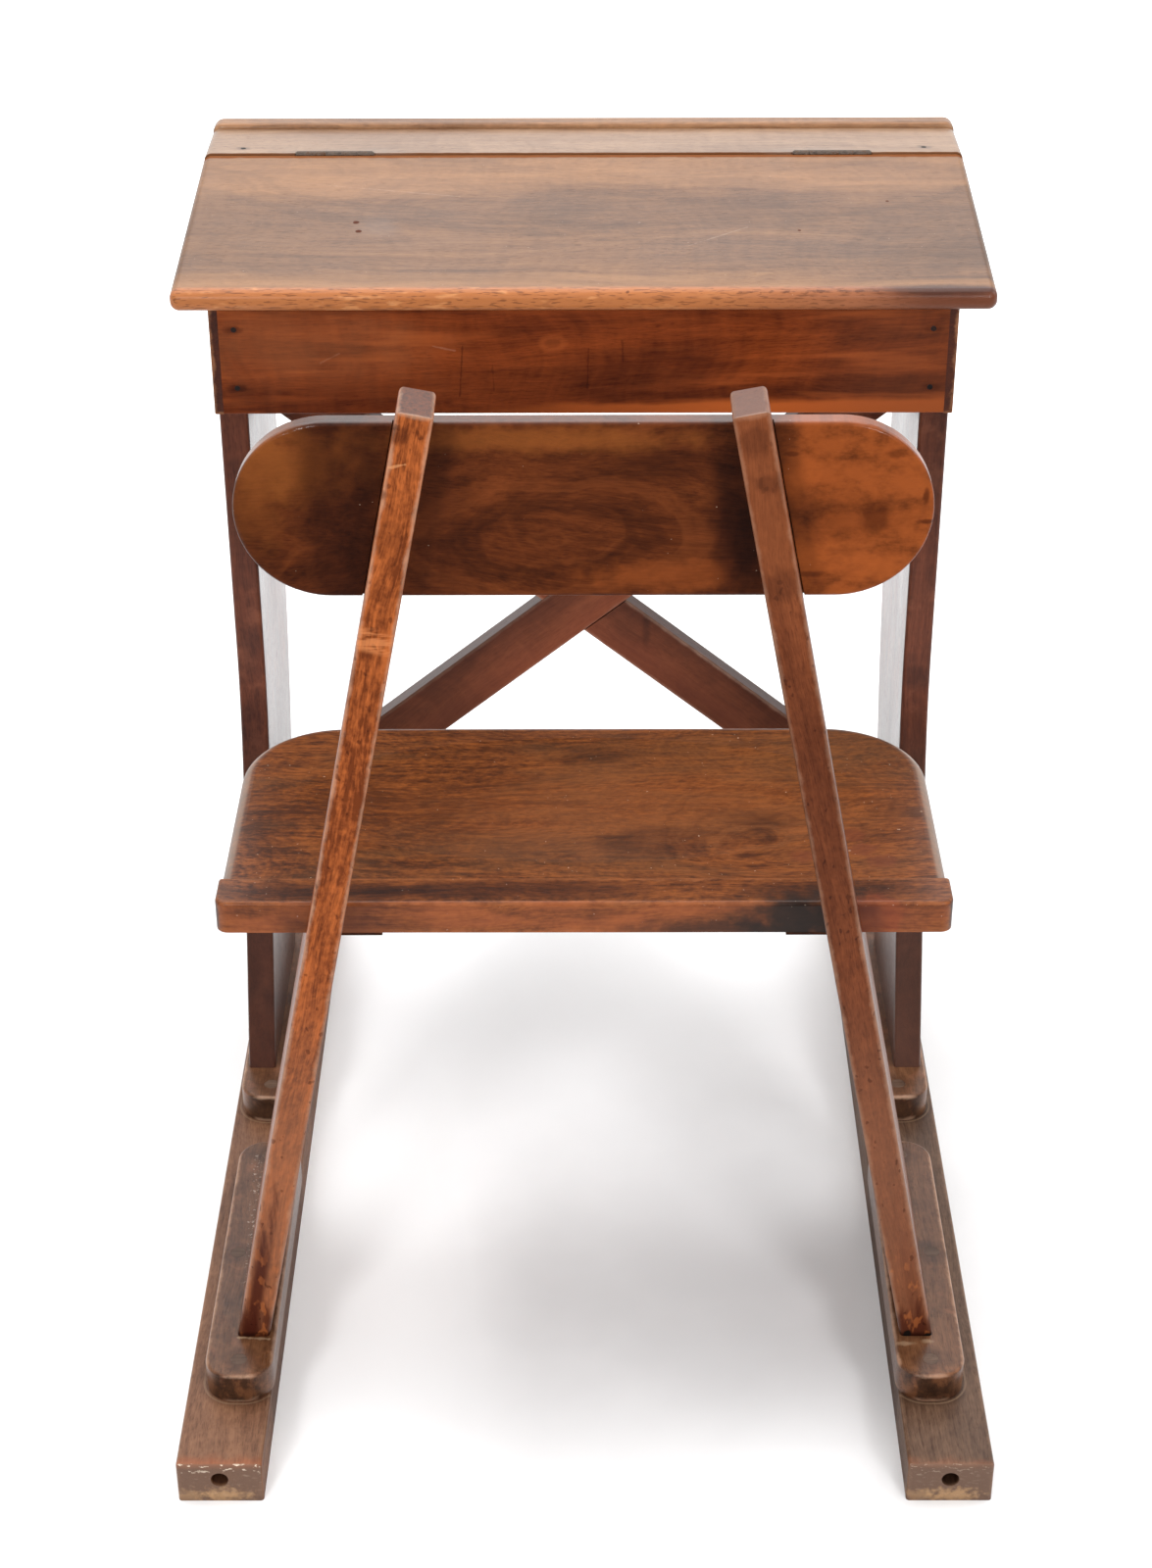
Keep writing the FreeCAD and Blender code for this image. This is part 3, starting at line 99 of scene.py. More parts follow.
class Shader:
    """A material's node tree, with short ways to add nodes. A value is a socket or a constant."""

    def __init__(self, name):
        self.material = bpy.data.materials.new(name)
        self.material.use_nodes = True
        self.tree = self.material.node_tree
        self.tree.nodes.clear()
        surface = self.node("ShaderNodeTexCoord").outputs
        self.place, self.normal = surface["Object"], surface["Normal"]
        self.x, self.y, self.z = self.split(self.place)
        self.roughs = {}
        self.dull = 0.0

    def node(self, kind, **settings):
        made = self.tree.nodes.new(kind)
        for key, value in settings.items():
            setattr(made, key, value)
        return made

    def put(self, socket, value):
        if isinstance(value, bpy.types.NodeSocket):
            self.tree.links.new(value, socket)
        else:
            socket.default_value = value

    def math(self, operation, *values):
        made = self.node("ShaderNodeMath", operation=operation)
        for socket, value in zip(made.inputs, values):
            self.put(socket, value)
        return made.outputs[0]

    def add(self, *values):
        total = values[0]
        for value in values[1:]:
            total = self.math("ADD", total, value)
        return total

    def times(self, *values):
        total = values[0]
        for value in values[1:]:
            total = self.math("MULTIPLY", total, value)
        return total

    def centred(self, value, amount):
        """A value around 0.5, turned into one around 0 and made larger or smaller."""
        return self.times(self.add(value, -0.5), amount)

    def apart(self, value, middle):
        """How far a value lies from a middle, to either side."""
        return self.math("ABSOLUTE", self.math("SUBTRACT", value, middle))

    def vector(self, operation, *values):
        made = self.node("ShaderNodeVectorMath", operation=operation)
        for socket, value in zip(made.inputs, values):
            self.put(socket, value)
        return made.outputs["Value" if operation in ("DOT_PRODUCT", "LENGTH") else "Vector"]

    def split(self, vector):
        made = self.node("ShaderNodeSeparateXYZ")
        self.put(made.inputs[0], vector)
        return made.outputs

    def join(self, x, y, z):
        made = self.node("ShaderNodeCombineXYZ")
        for socket, value in zip(made.inputs, (x, y, z)):
            self.put(socket, value)
        return made.outputs[0]

    def fade(self, value, low, high):
        """A smooth step from 0 at low to 1 at high."""
        made = self.node("ShaderNodeMapRange", interpolation_type="SMOOTHSTEP")
        for socket, given in zip(made.inputs, (value, low, high, 0.0, 1.0)):
            self.put(socket, given)
        return made.outputs[0]

    def noise(self, vector, scale=1.0, detail=2.0, roughness=0.55):
        made = self.node("ShaderNodeTexNoise")
        self.put(made.inputs["Vector"], vector)
        self.put(made.inputs["Scale"], scale)
        self.put(made.inputs["Detail"], detail)
        self.put(made.inputs["Roughness"], roughness)
        return made.outputs

    def rough(self, scale):
        """Plain noise in the row frame, made once for each scale."""
        if scale not in self.roughs:
            self.roughs[scale] = self.noise(self.place, scale, 3.0)[0]
        return self.roughs[scale]

    def stretched(self, vector, scale, shift):
        """The vector with its axes scaled, then shifted, for a texture of its own."""
        return self.vector("ADD", self.vector("MULTIPLY", vector, scale), shift)

    def mix(self, factor, first, second, blend="MIX"):
        made = self.node("ShaderNodeMix", data_type="RGBA", blend_type=blend)
        self.put(made.inputs[0], factor)
        self.put(made.inputs[6], first)
        self.put(made.inputs[7], second)
        return made.outputs[2]

    # Darkens a colour towards a tint: real stains and dirt, and in some places painted shade.
    def stain(self, factor, colour, tint=DIRT_AND_SHADE):
        return self.mix(factor, colour, tint, "MULTIPLY")

    def ramp(self, value, stops):
        made = self.node("ShaderNodeValToRGB")
        while len(made.color_ramp.elements) < len(stops):
            made.color_ramp.elements.new(0.5)
        for element, (position, colour) in zip(made.color_ramp.elements, stops):
            element.position = position
            element.color = colour
        self.put(made.inputs[0], value)
        return made.outputs[0]

    def blob(self, centre, radii, soft=0.6, ragged=0.35, grain=60.0):
        """1 inside an ellipsoid in the row frame, fading out with a ragged rim."""
        reach = self.vector("DIVIDE", self.vector("SUBTRACT", self.place, centre), radii)
        rim = self.add(self.vector("LENGTH", reach), self.centred(self.rough(grain), ragged * 4))
        return self.fade(rim, 1.0 + soft / 2, 1.0 - soft / 2)

    def stroke(self, start, end, width):
        """1 along a thin line between two points in the row frame, a little uneven."""
        start, reach = Vector(start), Vector(end) - Vector(start)
        away = self.vector("SUBTRACT", self.place, tuple(start))
        share = self.vector("DOT_PRODUCT", away, tuple(reach / reach.length_squared))
        share = self.math("MINIMUM", self.math("MAXIMUM", share, 0.0), 1.0)
        foot = self.vector("MULTIPLY", self.join(share, share, share), tuple(reach))
        gap = self.vector("LENGTH", self.vector("SUBTRACT", away, foot))
        return self.fade(self.add(gap, self.centred(self.rough(180.0), width * 3)), width, width * 0.3)

    def plan_gap(self, low, high, corner):
        """How far a point lies outside a round-cornered rectangle in plan."""
        beyond = []
        for value, near, far in zip((self.x, self.y), low, high):
            flat = (far - near) / 2 - corner
            beyond.append(self.math("MAXIMUM", self.add(self.apart(value, (near + far) / 2), -flat), 0.0))
        return self.add(self.vector("LENGTH", self.join(*beyond, 0.0)), -corner)

    def finish(self, colour, roughness, height, bump, specular, coat, coat_roughness, metallic=0.0):
        surface = self.node("ShaderNodeBsdfPrincipled")
        self.put(surface.inputs["Base Color"], colour)
        self.put(surface.inputs["Roughness"], roughness)
        self.put(surface.inputs["Specular IOR Level"], specular)
        self.put(surface.inputs["Coat Weight"], coat)
        surface.inputs["Coat Roughness"].default_value = coat_roughness
        surface.inputs["Metallic"].default_value = metallic
        relief = self.node("ShaderNodeBump")
        relief.inputs["Strength"].default_value = bump
        relief.inputs["Distance"].default_value = RELIEF_DEPTH
        self.put(relief.inputs["Height"], height)
        self.put(surface.inputs["Normal"], relief.outputs[0])
        output = self.node("ShaderNodeOutputMaterial")
        self.tree.links.new(surface.outputs[0], output.inputs[0])
        return surface


def paint(names, material):
    for name in names:
        slots = nodes[name].data.materials
        slots.clear()
        slots.append(material)


PLAIN_FIGURE = {
    # Where the pith line lies: across the board from its middle, and behind its face.
    "pith": (0.03, 0.09),
    # Where the rings close along the board, and how squashed they are there.
    "arch": (0.0, 0.0),
    "warp": 1.0,
    # How strongly each part of the figure shows, from broad to fine.
    "mottle": 0.7,
    "ripple": 0.3,
    "rings": 0.5,
    "streaks": 0.5,
    "lines": 0.5,
    "grit": 0.2,
    "pores": 0.4,
    "flecks": 0.0,
    # The roughness and sheen of the wood, and the weight and roughness of its varnish.
    "gloss": 0.36,
    "shine": 0.12,
    "coat": 0.3,
    "coat_gloss": 0.18,
    # How much of the varnish is left on faces to the front, and how much more lies on upward ones.
    "front": 1.0,
    "top": 0.0,
    # How far the edges are lightened, as rubbed-through varnish and as a painted highlight on the arrises,
    # and how patchy that is.
    "wear": 0.0,
    "patches": 0.012,
    "worn": tone(190, 130, 88),
}


def wood(name, tones, along=X, face=Z, seed=0.0, marks=None, **figure):
    """Varnished wood on one node: along is the way of the grain, and face is square to the board's face."""
    look = SimpleNamespace(**{**PLAIN_FIGURE, **figure})
    s = Shader(name + "_wood")
    axes = [tuple(along), tuple(face.cross(along)), tuple(face)]
    board = s.join(*[s.vector("DOT_PRODUCT", s.place, axis) for axis in axes])
    corners = np.array([vertex.co for vertex in nodes[name].data.vertices]) @ np.array(axes).T
    low, high = corners.min(0).tolist(), corners.max(0).tolist()
    middle = [(first + last) / 2 for first, last in zip(low, high)]
    shift = tuple(start + seed * step for start, step in zip(SEED_START, SEED_STEP))

    grain = grain_layers(s, look, board, middle, shift, seed)
    colour = grain_colour(s, look, grain, tones)
    end_grain = s.fade(s.math("ABSOLUTE", s.vector("DOT_PRODUCT", s.normal, axes[0])), 0.55, 0.92)
    colour = s.stain(end_grain, colour, END_GRAIN)
    matt = s.add(look.gloss, s.centred(grain.cloud, 0.3), s.centred(grain.fine, 0.12),
                 s.times(grain.pore, 0.08), s.times(end_grain, 0.12))
    # Lightened edges: rubbed varnish, and a painted highlight along the arrises.
    if look.wear:
        rub_and_highlight_mask = s.times(edge_rub_and_highlight(s, board, low, high, look.patches), look.wear)
        colour = s.mix(rub_and_highlight_mask, colour, look.worn)
        matt = s.add(matt, s.times(rub_and_highlight_mask, 0.15))
    if marks:
        s.across = s.add(s.split(board)[1], -middle[1])
        colour = marks(s, colour)
    if look.flecks:
        fleck = s.fade(s.noise(s.vector("ADD", s.place, shift), 480.0, 0.0)[0], 0.86, 0.89)
        colour = s.mix(s.times(fleck, look.flecks), colour, tone(214, 190, 168))
    height = s.add(s.times(grain.fine, 0.4), s.times(grain.line, 0.3), s.times(grain.pore, -0.7))
    varnish(s, look, colour, matt, height)
    paint([name], s.material)


def grain_layers(s, look, board, middle, shift, seed):
    """The layers of the grain, each around 0.5: rings round a pith line, and noise from broad to fine."""
    bend = s.vector("SUBTRACT", s.noise(s.stretched(board, (3.0, 8.0, 8.0), shift))[1], (0.5, 0.5, 0.5))
    sway = (0.12 * look.warp, 0.05 * look.warp, 0.05 * look.warp)
    waved = s.vector("ADD", board, s.vector("MULTIPLY", bend, sway))
    heart = (middle[0] + look.arch[0], middle[1] + look.pith[0], middle[2] - look.pith[1])
    reach = s.vector("MULTIPLY", s.vector("SUBTRACT", waved, heart), (look.arch[1], 1.0, 1.0))
    turns = s.times(s.vector("LENGTH", reach), RINGS_PER_METRE)
    round_heart = s.join(s.times(s.split(waved)[0], 0.8), turns, seed)

    def layer(scale, detail, base=waved):
        return s.noise(s.stretched(base, scale, shift), 1.0, detail, 0.6)[0]

    return SimpleNamespace(
        ring=s.noise(round_heart, 1.0, 3.0, 0.6)[0],
        cloud=layer(*CLOUD_GRAIN, board),
        bars=layer(*BAR_GRAIN),
        streak=layer(*STREAK_GRAIN),
        line=layer(*LINE_GRAIN),
        fine=layer(*FINE_GRAIN),
        grit=layer(*GRIT_GRAIN),
        pore=s.fade(layer(*PORE_GRAIN), 0.60, 0.72),
    )


def grain_colour(s, look, grain, tones):
    shares = ((grain.cloud, look.mottle), (grain.bars, look.ripple), (grain.ring, look.rings),
              (grain.streak, look.streaks), (grain.line, look.lines), (grain.fine, look.lines),
              (grain.grit, look.grit))
    level = s.add(0.5, *[s.centred(layer, share) for layer, share in shares])
    colour = s.ramp(level, ((0.2, tones[0]), (0.5, tones[1]), (0.8, tones[2])))
    return s.stain(s.times(grain.pore, look.pores), colour, PORE_SHADE)


def varnish(s, look, colour, matt, height):
    """The surface, with less varnish on faces to the front, more on upward ones and none on dull places."""
    _, toward, upward = s.split(s.normal)
    less = s.times(s.fade(toward, -0.5, -0.9), look.front - 1)
    more = s.times(s.fade(upward, 0.35, 0.75), look.top)
    kept = s.math("SUBTRACT", 1.0, s.dull)
    coat = s.times(s.add(1.0, less, more), kept, look.coat)
    s.finish(colour, matt, height, 0.12, s.times(kept, look.shine), coat, look.coat_gloss)


def edge_rub_and_highlight(s, board, low, high, patches):
    """1 on the arrises of a board, from the two nearest sides of its box, in patches: rubbed wear, and a
    painted highlight on the arris.
    """
    gaps = []
    for value, first, last in zip(s.split(board), low, high):
        gaps.append(s.math("MINIMUM", s.add(value, -first), s.math("SUBTRACT", last, value)))
    lesser = s.math("MINIMUM", gaps[0], gaps[1])
    greater = s.math("MAXIMUM", gaps[0], gaps[1])
    edge = s.math("MAXIMUM", lesser, s.math("MINIMUM", greater, gaps[2]))
    patchy = s.centred(s.noise(s.place, 70.0, 4.0, 0.65)[0], patches)
    return s.fade(s.add(edge, patchy), RUB_AND_HIGHLIGHT_WIDTH, 0.0)


def spots(s, colour, places, tint=None, soft=1.0, ragged=0.3, grain=40.0):
    """Soft ragged patches: each has a centre and radii in the row frame, and how strongly it shows.

    They darken the wood, or turn it to the tint.
    """
    for centre, radii, amount in places:
        mask = s.times(s.blob(centre, radii, soft, ragged, grain), amount)
        colour = s.mix(mask, colour, tint) if tint else s.stain(mask, colour)
    return colour


def strokes(s, colour, places, width, tint=None):
    """Hair cracks and scratches: each runs between two points, with how strongly it shows."""
    for start, end, amount in places:
        mask = s.times(s.stroke(start, end, width), amount)
        colour = s.mix(mask, colour, tint) if tint else s.stain(mask, colour)
    return colour


def swirl(s, colour, centre, radii, turns, amount, light, uneven=1.6):
    """Uneven rings round a point, as where a branch grew: dark ones, with a lighter tone between them."""
    reach = s.vector("DIVIDE", s.vector("SUBTRACT", s.place, centre), radii)
    turn = s.add(s.vector("LENGTH", reach), s.centred(s.rough(16.0), uneven))
    ring = s.noise(s.join(s.times(turn, turns), 0.0, 0.0), 1.0, 3.0)[0]
    near = s.times(s.fade(turn, 2.0, 0.9), amount)
    colour = s.mix(s.times(near, s.fade(ring, 0.50, 0.36), 0.6), colour, light)
    return s.stain(s.times(near, s.fade(ring, 0.50, 0.66)), colour)


def middles(name, reach=0.02):
    """The middles of the separate solids of a node, for solids that lie further apart than reach."""
    groups = []
    for vertex in nodes[name].data.vertices:
        group = next((group for group in groups if (group[0] - vertex.co).length < reach), None)
        if group is None:
            groups.append([vertex.co])
        else:
            group.append(vertex.co)
    return [tuple(sum(group, Vector()) / len(group)) for group in groups]


# Marks are placed one by one. A patch has its centre, its radii and its strength, and a stroke its two ends
# and its strength, in metres in the row frame.
LID_STAINS = (
    ((-0.006, 0.254, 0.757), (0.042, 0.030, 0.1), 0.24),
    ((-0.028, 0.222, 0.754), (0.026, 0.030, 0.1), 0.22),
    ((-0.26, 0.170, 0.750), (0.08, 0.05, 0.1), 0.20),
    ((-0.31, 0.240, 0.755), (0.06, 0.12, 0.1), 0.12),
    ((0.29, 0.150, 0.747), (0.09, 0.07, 0.1), 0.40),
    ((0.31, 0.260, 0.757), (0.07, 0.10, 0.1), 0.16),
)
LID_BLOOM = (((-0.163, 0.206, 0.752), (0.014, 0.016, 0.1), 0.14),)
# Each hole has its centre and its radius.
LID_HOLES = (
    ((-0.181, 0.215, 0.753), 0.0026),
    ((-0.178, 0.199, 0.751), 0.0026),
    ((0.171, 0.199, 0.751), 0.0014),
    ((0.245, 0.252, 0.757), 0.0014),
)
LID_SCRATCHES = (
    ((-0.24, 0.290, 0.760), (-0.10, 0.262, 0.758), 0.10),
    ((0.05, 0.150, 0.748), (0.13, 0.205, 0.752), 0.10),
)
NOSING_STAIN = (((0.275, 0.0975, 0.742), (0.050, 0.007, 0.005), 0.8),)
NOSING_CRACKS = (
    ((0.10, 0.0965, 0.739), (0.225, 0.0965, 0.740), 0.7),
    ((0.03, 0.0960, 0.738), (0.034, 0.0962, 0.740), 0.8),
)


def lid_marks(s, colour):
    wave = s.centred(s.noise(s.stretched(s.place, (5.0, 14.0, 1.0), (0.3, 0.1, 0.0)), 1.0, 3.0)[0], 0.10)
    depth = s.add(s.y, wave, s.times(s.x, -0.03))
    zone = s.times(s.fade(depth, 0.275, 0.255), s.fade(depth, 0.116, 0.135))
    colour = s.stain(s.times(zone, 0.6), colour, (0.62, 0.60, 0.62, 1.0))
    colour = s.mix(s.times(s.fade(depth, 0.262, 0.285), 0.22), colour, tone(148, 106, 72))
    bow = s.add(s.y, s.times(s.math("POWER", s.apart(s.x, 0.04), 2.0), -0.7), wave)
    arc = s.noise(s.join(s.times(s.x, 2.0), s.times(bow, 55.0), 0.7), 1.0, 3.0)[0]
    colour = s.stain(s.times(s.fade(arc, 0.50, 0.68), 0.22), colour)
    colour = spots(s, colour, LID_STAINS, soft=1.6, grain=45.0)
    colour = spots(s, colour, LID_BLOOM, tone(116, 112, 110), 1.5)
    hole = 0.0
    for spot, radius in LID_HOLES:
        hole = s.math("MAXIMUM", hole, s.blob(spot, (radius, radius, 0.01), 0.4, 0.1, 300.0))
    colour = s.mix(s.times(hole, 0.9), colour, tone(72, 34, 22))
    colour = strokes(s, colour, LID_SCRATCHES, 0.0009, tone(206, 184, 166))
    colour = lid_front(s, colour)
    # Painted shade of the gap at the lid's far edge, laid over the edge, with the sheen taken off there.
    painted_joint_shade = s.fade(s.add(s.y, s.centred(s.rough(90.0), 0.003)), LID_FAR - 0.0075, LID_FAR - 0.0045)
    s.dull = s.math("MAXIMUM", painted_joint_shade, s.times(hole, 0.9))
    return s.mix(s.times(painted_joint_shade, 0.9), colour, tone(112, 66, 38))


def lid_front(s, colour):
    """The lighter strip along the lid's near edge, and its rounded nosing with short dark pores."""
    fibre = s.centred(s.noise(s.stretched(s.place, (9.0, 90.0, 90.0), (0.2, 0.1, 0.7)))[0], 0.04)
    strip = s.fade(s.add(s.y, fibre, s.times(s.x, 0.025)), 0.128, 0.112)
    colour = s.mix(s.times(strip, 0.4), colour, tone(138, 96, 58))
    nose = s.fade(s.add(s.y, s.centred(s.rough(120.0), 0.002)), 0.1045, 0.0995)
    warm = s.mix(s.fade(s.x, 0.06, 0.22), tone(160, 97, 54), tone(138, 83, 54))
    warm = s.mix(s.fade(s.x, 0.20, 0.27), warm, tone(92, 46, 28))
    for scale, low, high, amount in (((110.0, 700.0, 700.0), 0.56, 0.66, 0.6),
                                     ((60.0, 260.0, 260.0), 0.58, 0.70, 0.3)):
        tick = s.fade(s.noise(s.stretched(s.place, scale, (0.0, 0.0, 0.3)), 1.0, 1.0)[0], low, high)
        warm = s.mix(s.times(tick, amount), warm, tone(84, 42, 20))
    rubbed = s.fade(s.noise(s.stretched(s.place, (40.0, 120.0, 120.0), (0.6, 0.0, 0.0)))[0], 0.58, 0.68)
    warm = s.mix(s.times(rubbed, s.fade(s.x, 0.14, -0.02), 0.5), warm, tone(204, 142, 92))
    colour = s.mix(s.times(nose, 0.9), colour, warm)
    colour = spots(s, colour, NOSING_STAIN, grain=60.0)
    return strokes(s, colour, NOSING_CRACKS, 0.0016)


HINGE_MIDDLE = 0.197
# The grey bloom round a hinge is the upper part of a tall ellipsoid that is centred far below the rail.
BLOOM_LEVEL = SHOE_TOP
BLOOM_RADII = (0.045, 0.010, 1.0)


def hinge_rail_marks(s, colour):
    # Painted shade of the gap at the rail's near edge, with the sheen taken off there.
    painted_joint_shade = s.fade(s.add(s.y, s.centred(s.rough(90.0), 0.002)), RAIL_NEAR + 0.0030, RAIL_NEAR + 0.0014)
    s.dull = painted_joint_shade
    colour = s.mix(s.times(painted_joint_shade, 0.85), colour, tone(84, 48, 26))
    for side in SIDE_NAMES:
        hinge = (side * HINGE_MIDDLE, RAIL_NEAR + 0.004, BLOOM_LEVEL)
        colour = spots(s, colour, ((hinge, BLOOM_RADII, 0.35),), tone(112, 104, 98), 1.4)
    stains = [(spot, (0.006, 0.004, 0.02), 0.6) for spot in middles("hinge_rail_nails")]
    return spots(s, colour, stains, grain=150.0)


APRON_FADED = (((-0.23, APRON_FACE, 0.690), (0.09, 0.05, 0.030), 0.35),)
APRON_EYE = (-0.024, APRON_FACE, 0.692)
APRON_STAINS = (
    ((-0.19, APRON_FACE, 0.648), (0.10, 0.05, 0.014), 0.4),
    ((0.05, APRON_FACE, 0.668), (0.06, 0.05, 0.020), 0.3),
)
APRON_NAIL_MIDDLE, APRON_NAIL_HEIGHTS = 0.2715, (0.655, 0.7036)
APRON_CRACKS = (
    ((-0.094, APRON_FACE, 0.690), (-0.097, APRON_FACE, 0.648), 0.55),
    ((0.004, APRON_FACE, 0.688), (0.003, APRON_FACE, 0.655), 0.5),
    ((0.030, APRON_FACE, 0.694), (0.031, APRON_FACE, 0.676), 0.45),
    ((-0.071, APRON_FACE, 0.674), (-0.070, APRON_FACE, 0.652), 0.4),
)
APRON_SCRATCHES = (
    ((-0.117, APRON_FACE, 0.690), (-0.100, APRON_FACE, 0.686), 0.2),
    ((-0.205, APRON_FACE, 0.676), (-0.190, APRON_FACE, 0.684), 0.12),
)


def apron_marks(s, colour):
    """A light sapwood edge that rises to the right, flames at the ends, an eye, cracks and nail stains."""
    wave = s.centred(s.noise(s.stretched(s.place, (16.0, 1.0, 40.0), (0.4, 0.0, 0.0)), 1.0, 3.0)[0], 0.010)
    rise = s.add(0.6355, s.times(s.add(s.x, 0.206), 0.0226))
    above = s.add(s.math("SUBTRACT", s.z, rise), wave)
    sap = s.times(s.fade(above, 0.0035, -0.002), s.fade(s.x, -0.10, 0.02))
    colour = s.mix(s.times(sap, 0.85), colour, tone(166, 82, 34))
    shade = s.times(s.fade(s.apart(above, 0.008), 0.008, 0.001), s.fade(s.x, -0.05, 0.05))
    colour = s.stain(s.times(shade, 0.4), colour)
    flame = tone(156, 78, 34)
    tongue = s.noise(s.stretched(s.place, (8.0, 1.0, 95.0), (0.7, 0.0, 0.2)), 1.0, 3.0)[0]
    ends = s.add(0.15, s.times(s.fade(s.apart(s.x, 0.0), 0.02, 0.16), 0.3))
    colour = s.mix(s.times(s.fade(tongue, 0.48, 0.72), ends), colour, flame)
    colour = spots(s, colour, APRON_FADED, tone(134, 80, 48), 1.6, 0.4)
    colour = spots(s, colour, ((APRON_EYE, (0.011, 0.05, 0.007), 0.25),), flame, 0.5, 0.1)
    colour = spots(s, colour, ((APRON_EYE, (0.006, 0.05, 0.0035), 0.3),), soft=0.5, ragged=0.1)
    colour = spots(s, colour, APRON_STAINS)
    colour = s.mix(s.times(s.fade(s.x, 0.14, 0.26), 0.3), colour, tone(92, 54, 36))
    nails = [((side * APRON_NAIL_MIDDLE, APRON_FACE, height), (0.007, 0.02, 0.003), 0.55 - side * 0.15)
             for side in SIDE_NAMES for height in APRON_NAIL_HEIGHTS]
    colour = spots(s, colour, nails, grain=160.0)
    colour = strokes(s, colour, APRON_CRACKS, 0.0011)
    colour = strokes(s, colour, APRON_SCRATCHES, 0.0009, tone(160, 116, 92))
    # Painted shade along the top of the apron, under the lid's overhang.
    return s.stain(s.times(s.fade(s.z, 0.712, 0.7275), 0.45), colour)


BACKREST_SWIRL = (-0.02, BACKREST_FACE, 0.715)
BACKREST_GOLD = (
    ((-0.190, BACKREST_FACE, 0.768), (0.045, 0.03, 0.022), 0.40),
    ((-0.040, BACKREST_FACE, 0.786), (0.10, 0.03, 0.008), 0.40),
    ((-0.215, BACKREST_FACE, 0.745), (0.02, 0.03, 0.03), 0.25),
)
BACKREST_AMBER = (
    ((0.060, BACKREST_FACE, 0.688), (0.05, 0.05, 0.010), 0.25),
    ((0.138, BACKREST_FACE, 0.757), (0.014, 0.05, 0.013), 0.45),
    ((0.160, BACKREST_FACE, 0.700), (0.040, 0.05, 0.012), 0.35),
)
# Dark patches beside the uprights: partly stain, partly painted shadow of the uprights.
BACKREST_STAIN_AND_SHADOW = (
    ((-0.157, BACKREST_FACE, 0.735), (0.027, 0.05, 0.12), 0.75),
    ((0.108, BACKREST_FACE, 0.738), (0.024, 0.05, 0.06), 0.85),
)
BACKREST_SHADE = (
    ((-0.095, BACKREST_FACE, 0.730), (0.024, 0.05, 0.10), 0.3),
    ((0.105, BACKREST_FACE, 0.700), (0.018, 0.05, 0.030), 0.4),
    ((0.045, BACKREST_FACE, 0.768), (0.050, 0.05, 0.010), 0.45),
    ((0.150, BACKREST_FACE, 0.731), (0.050, 0.05, 0.014), 0.40),
    ((-0.215, BACKREST_FACE, 0.725), (0.020, 0.05, 0.05), 0.3),
)
BACKREST_KNOT = (((0.190, BACKREST_FACE, 0.731), (0.009, 0.05, 0.011), 0.7),)
BACKREST_NICKS = (
    ((0.222, BACKREST_FACE, 0.746), (0.002, 0.05, 0.005), 0.8),
    ((0.223, BACKREST_FACE, 0.728), (0.006, 0.05, 0.0015), 0.8),
    ((0.201, BACKREST_FACE, 0.776), (0.006, 0.05, 0.003), 0.6),
    ((0.134, BACKREST_FACE, 0.776), (0.005, 0.05, 0.0015), 0.6),
    ((0.148, BACKREST_FACE, 0.690), (0.012, 0.05, 0.002), 0.6),
)


def backrest_marks(s, colour):
    """Curved wisps, long rings in the middle, an amber right end and dark patches by the uprights, partly
    stain and partly painted shadow.
    """
    drift = s.vector("SUBTRACT", s.noise(s.place, 9.0, 2.0)[1], (0.5, 0.5, 0.5))
    drifted = s.vector("ADD", s.place, s.vector("MULTIPLY", drift, (0.16, 0.0, 0.10)))
    turned_x, _, turned_z = s.split(drifted)
    sweep = s.join(s.times(turned_x, 6.0), 0.0, s.times(s.add(turned_z, s.times(turned_x, -0.4)), 48.0))
    wisp = s.noise(sweep, 1.0, 3.0, 0.6)[0]
    colour = s.stain(s.times(s.fade(wisp, 0.50, 0.72), 0.25), colour)
    colour = s.mix(s.times(s.fade(wisp, 0.46, 0.26), 0.2), colour, tone(132, 70, 32))
    colour = swirl(s, colour, BACKREST_SWIRL, (0.13, 1.0, 0.06), 3.5, 0.5, tone(120, 62, 28), 0.6)
    colour = spots(s, colour, BACKREST_GOLD, tone(138, 78, 32), 1.4, 0.5, 60.0)
    amber = tone(152, 77, 32)
    end = s.fade(s.add(s.x, s.centred(s.rough(25.0), 0.05)), 0.115, 0.140)
    figure = s.noise(s.stretched(s.place, (38.0, 1.0, 60.0), (0.9, 0.0, 0.2)), 1.0, 5.0, 0.65)[0]
    colour = s.mix(s.times(end, s.fade(figure, 0.22, 0.60), 0.6), colour, amber)
    colour = spots(s, colour, BACKREST_AMBER, amber, 1.4, 0.6, 70.0)
    colour = spots(s, colour, BACKREST_STAIN_AND_SHADOW, soft=0.8, ragged=0.15, grain=30.0)
    colour = spots(s, colour, BACKREST_SHADE, soft=1.3, grain=55.0)
    colour = spots(s, colour, BACKREST_KNOT, soft=1.2, grain=150.0)
    return spots(s, colour, BACKREST_NICKS, grain=160.0)


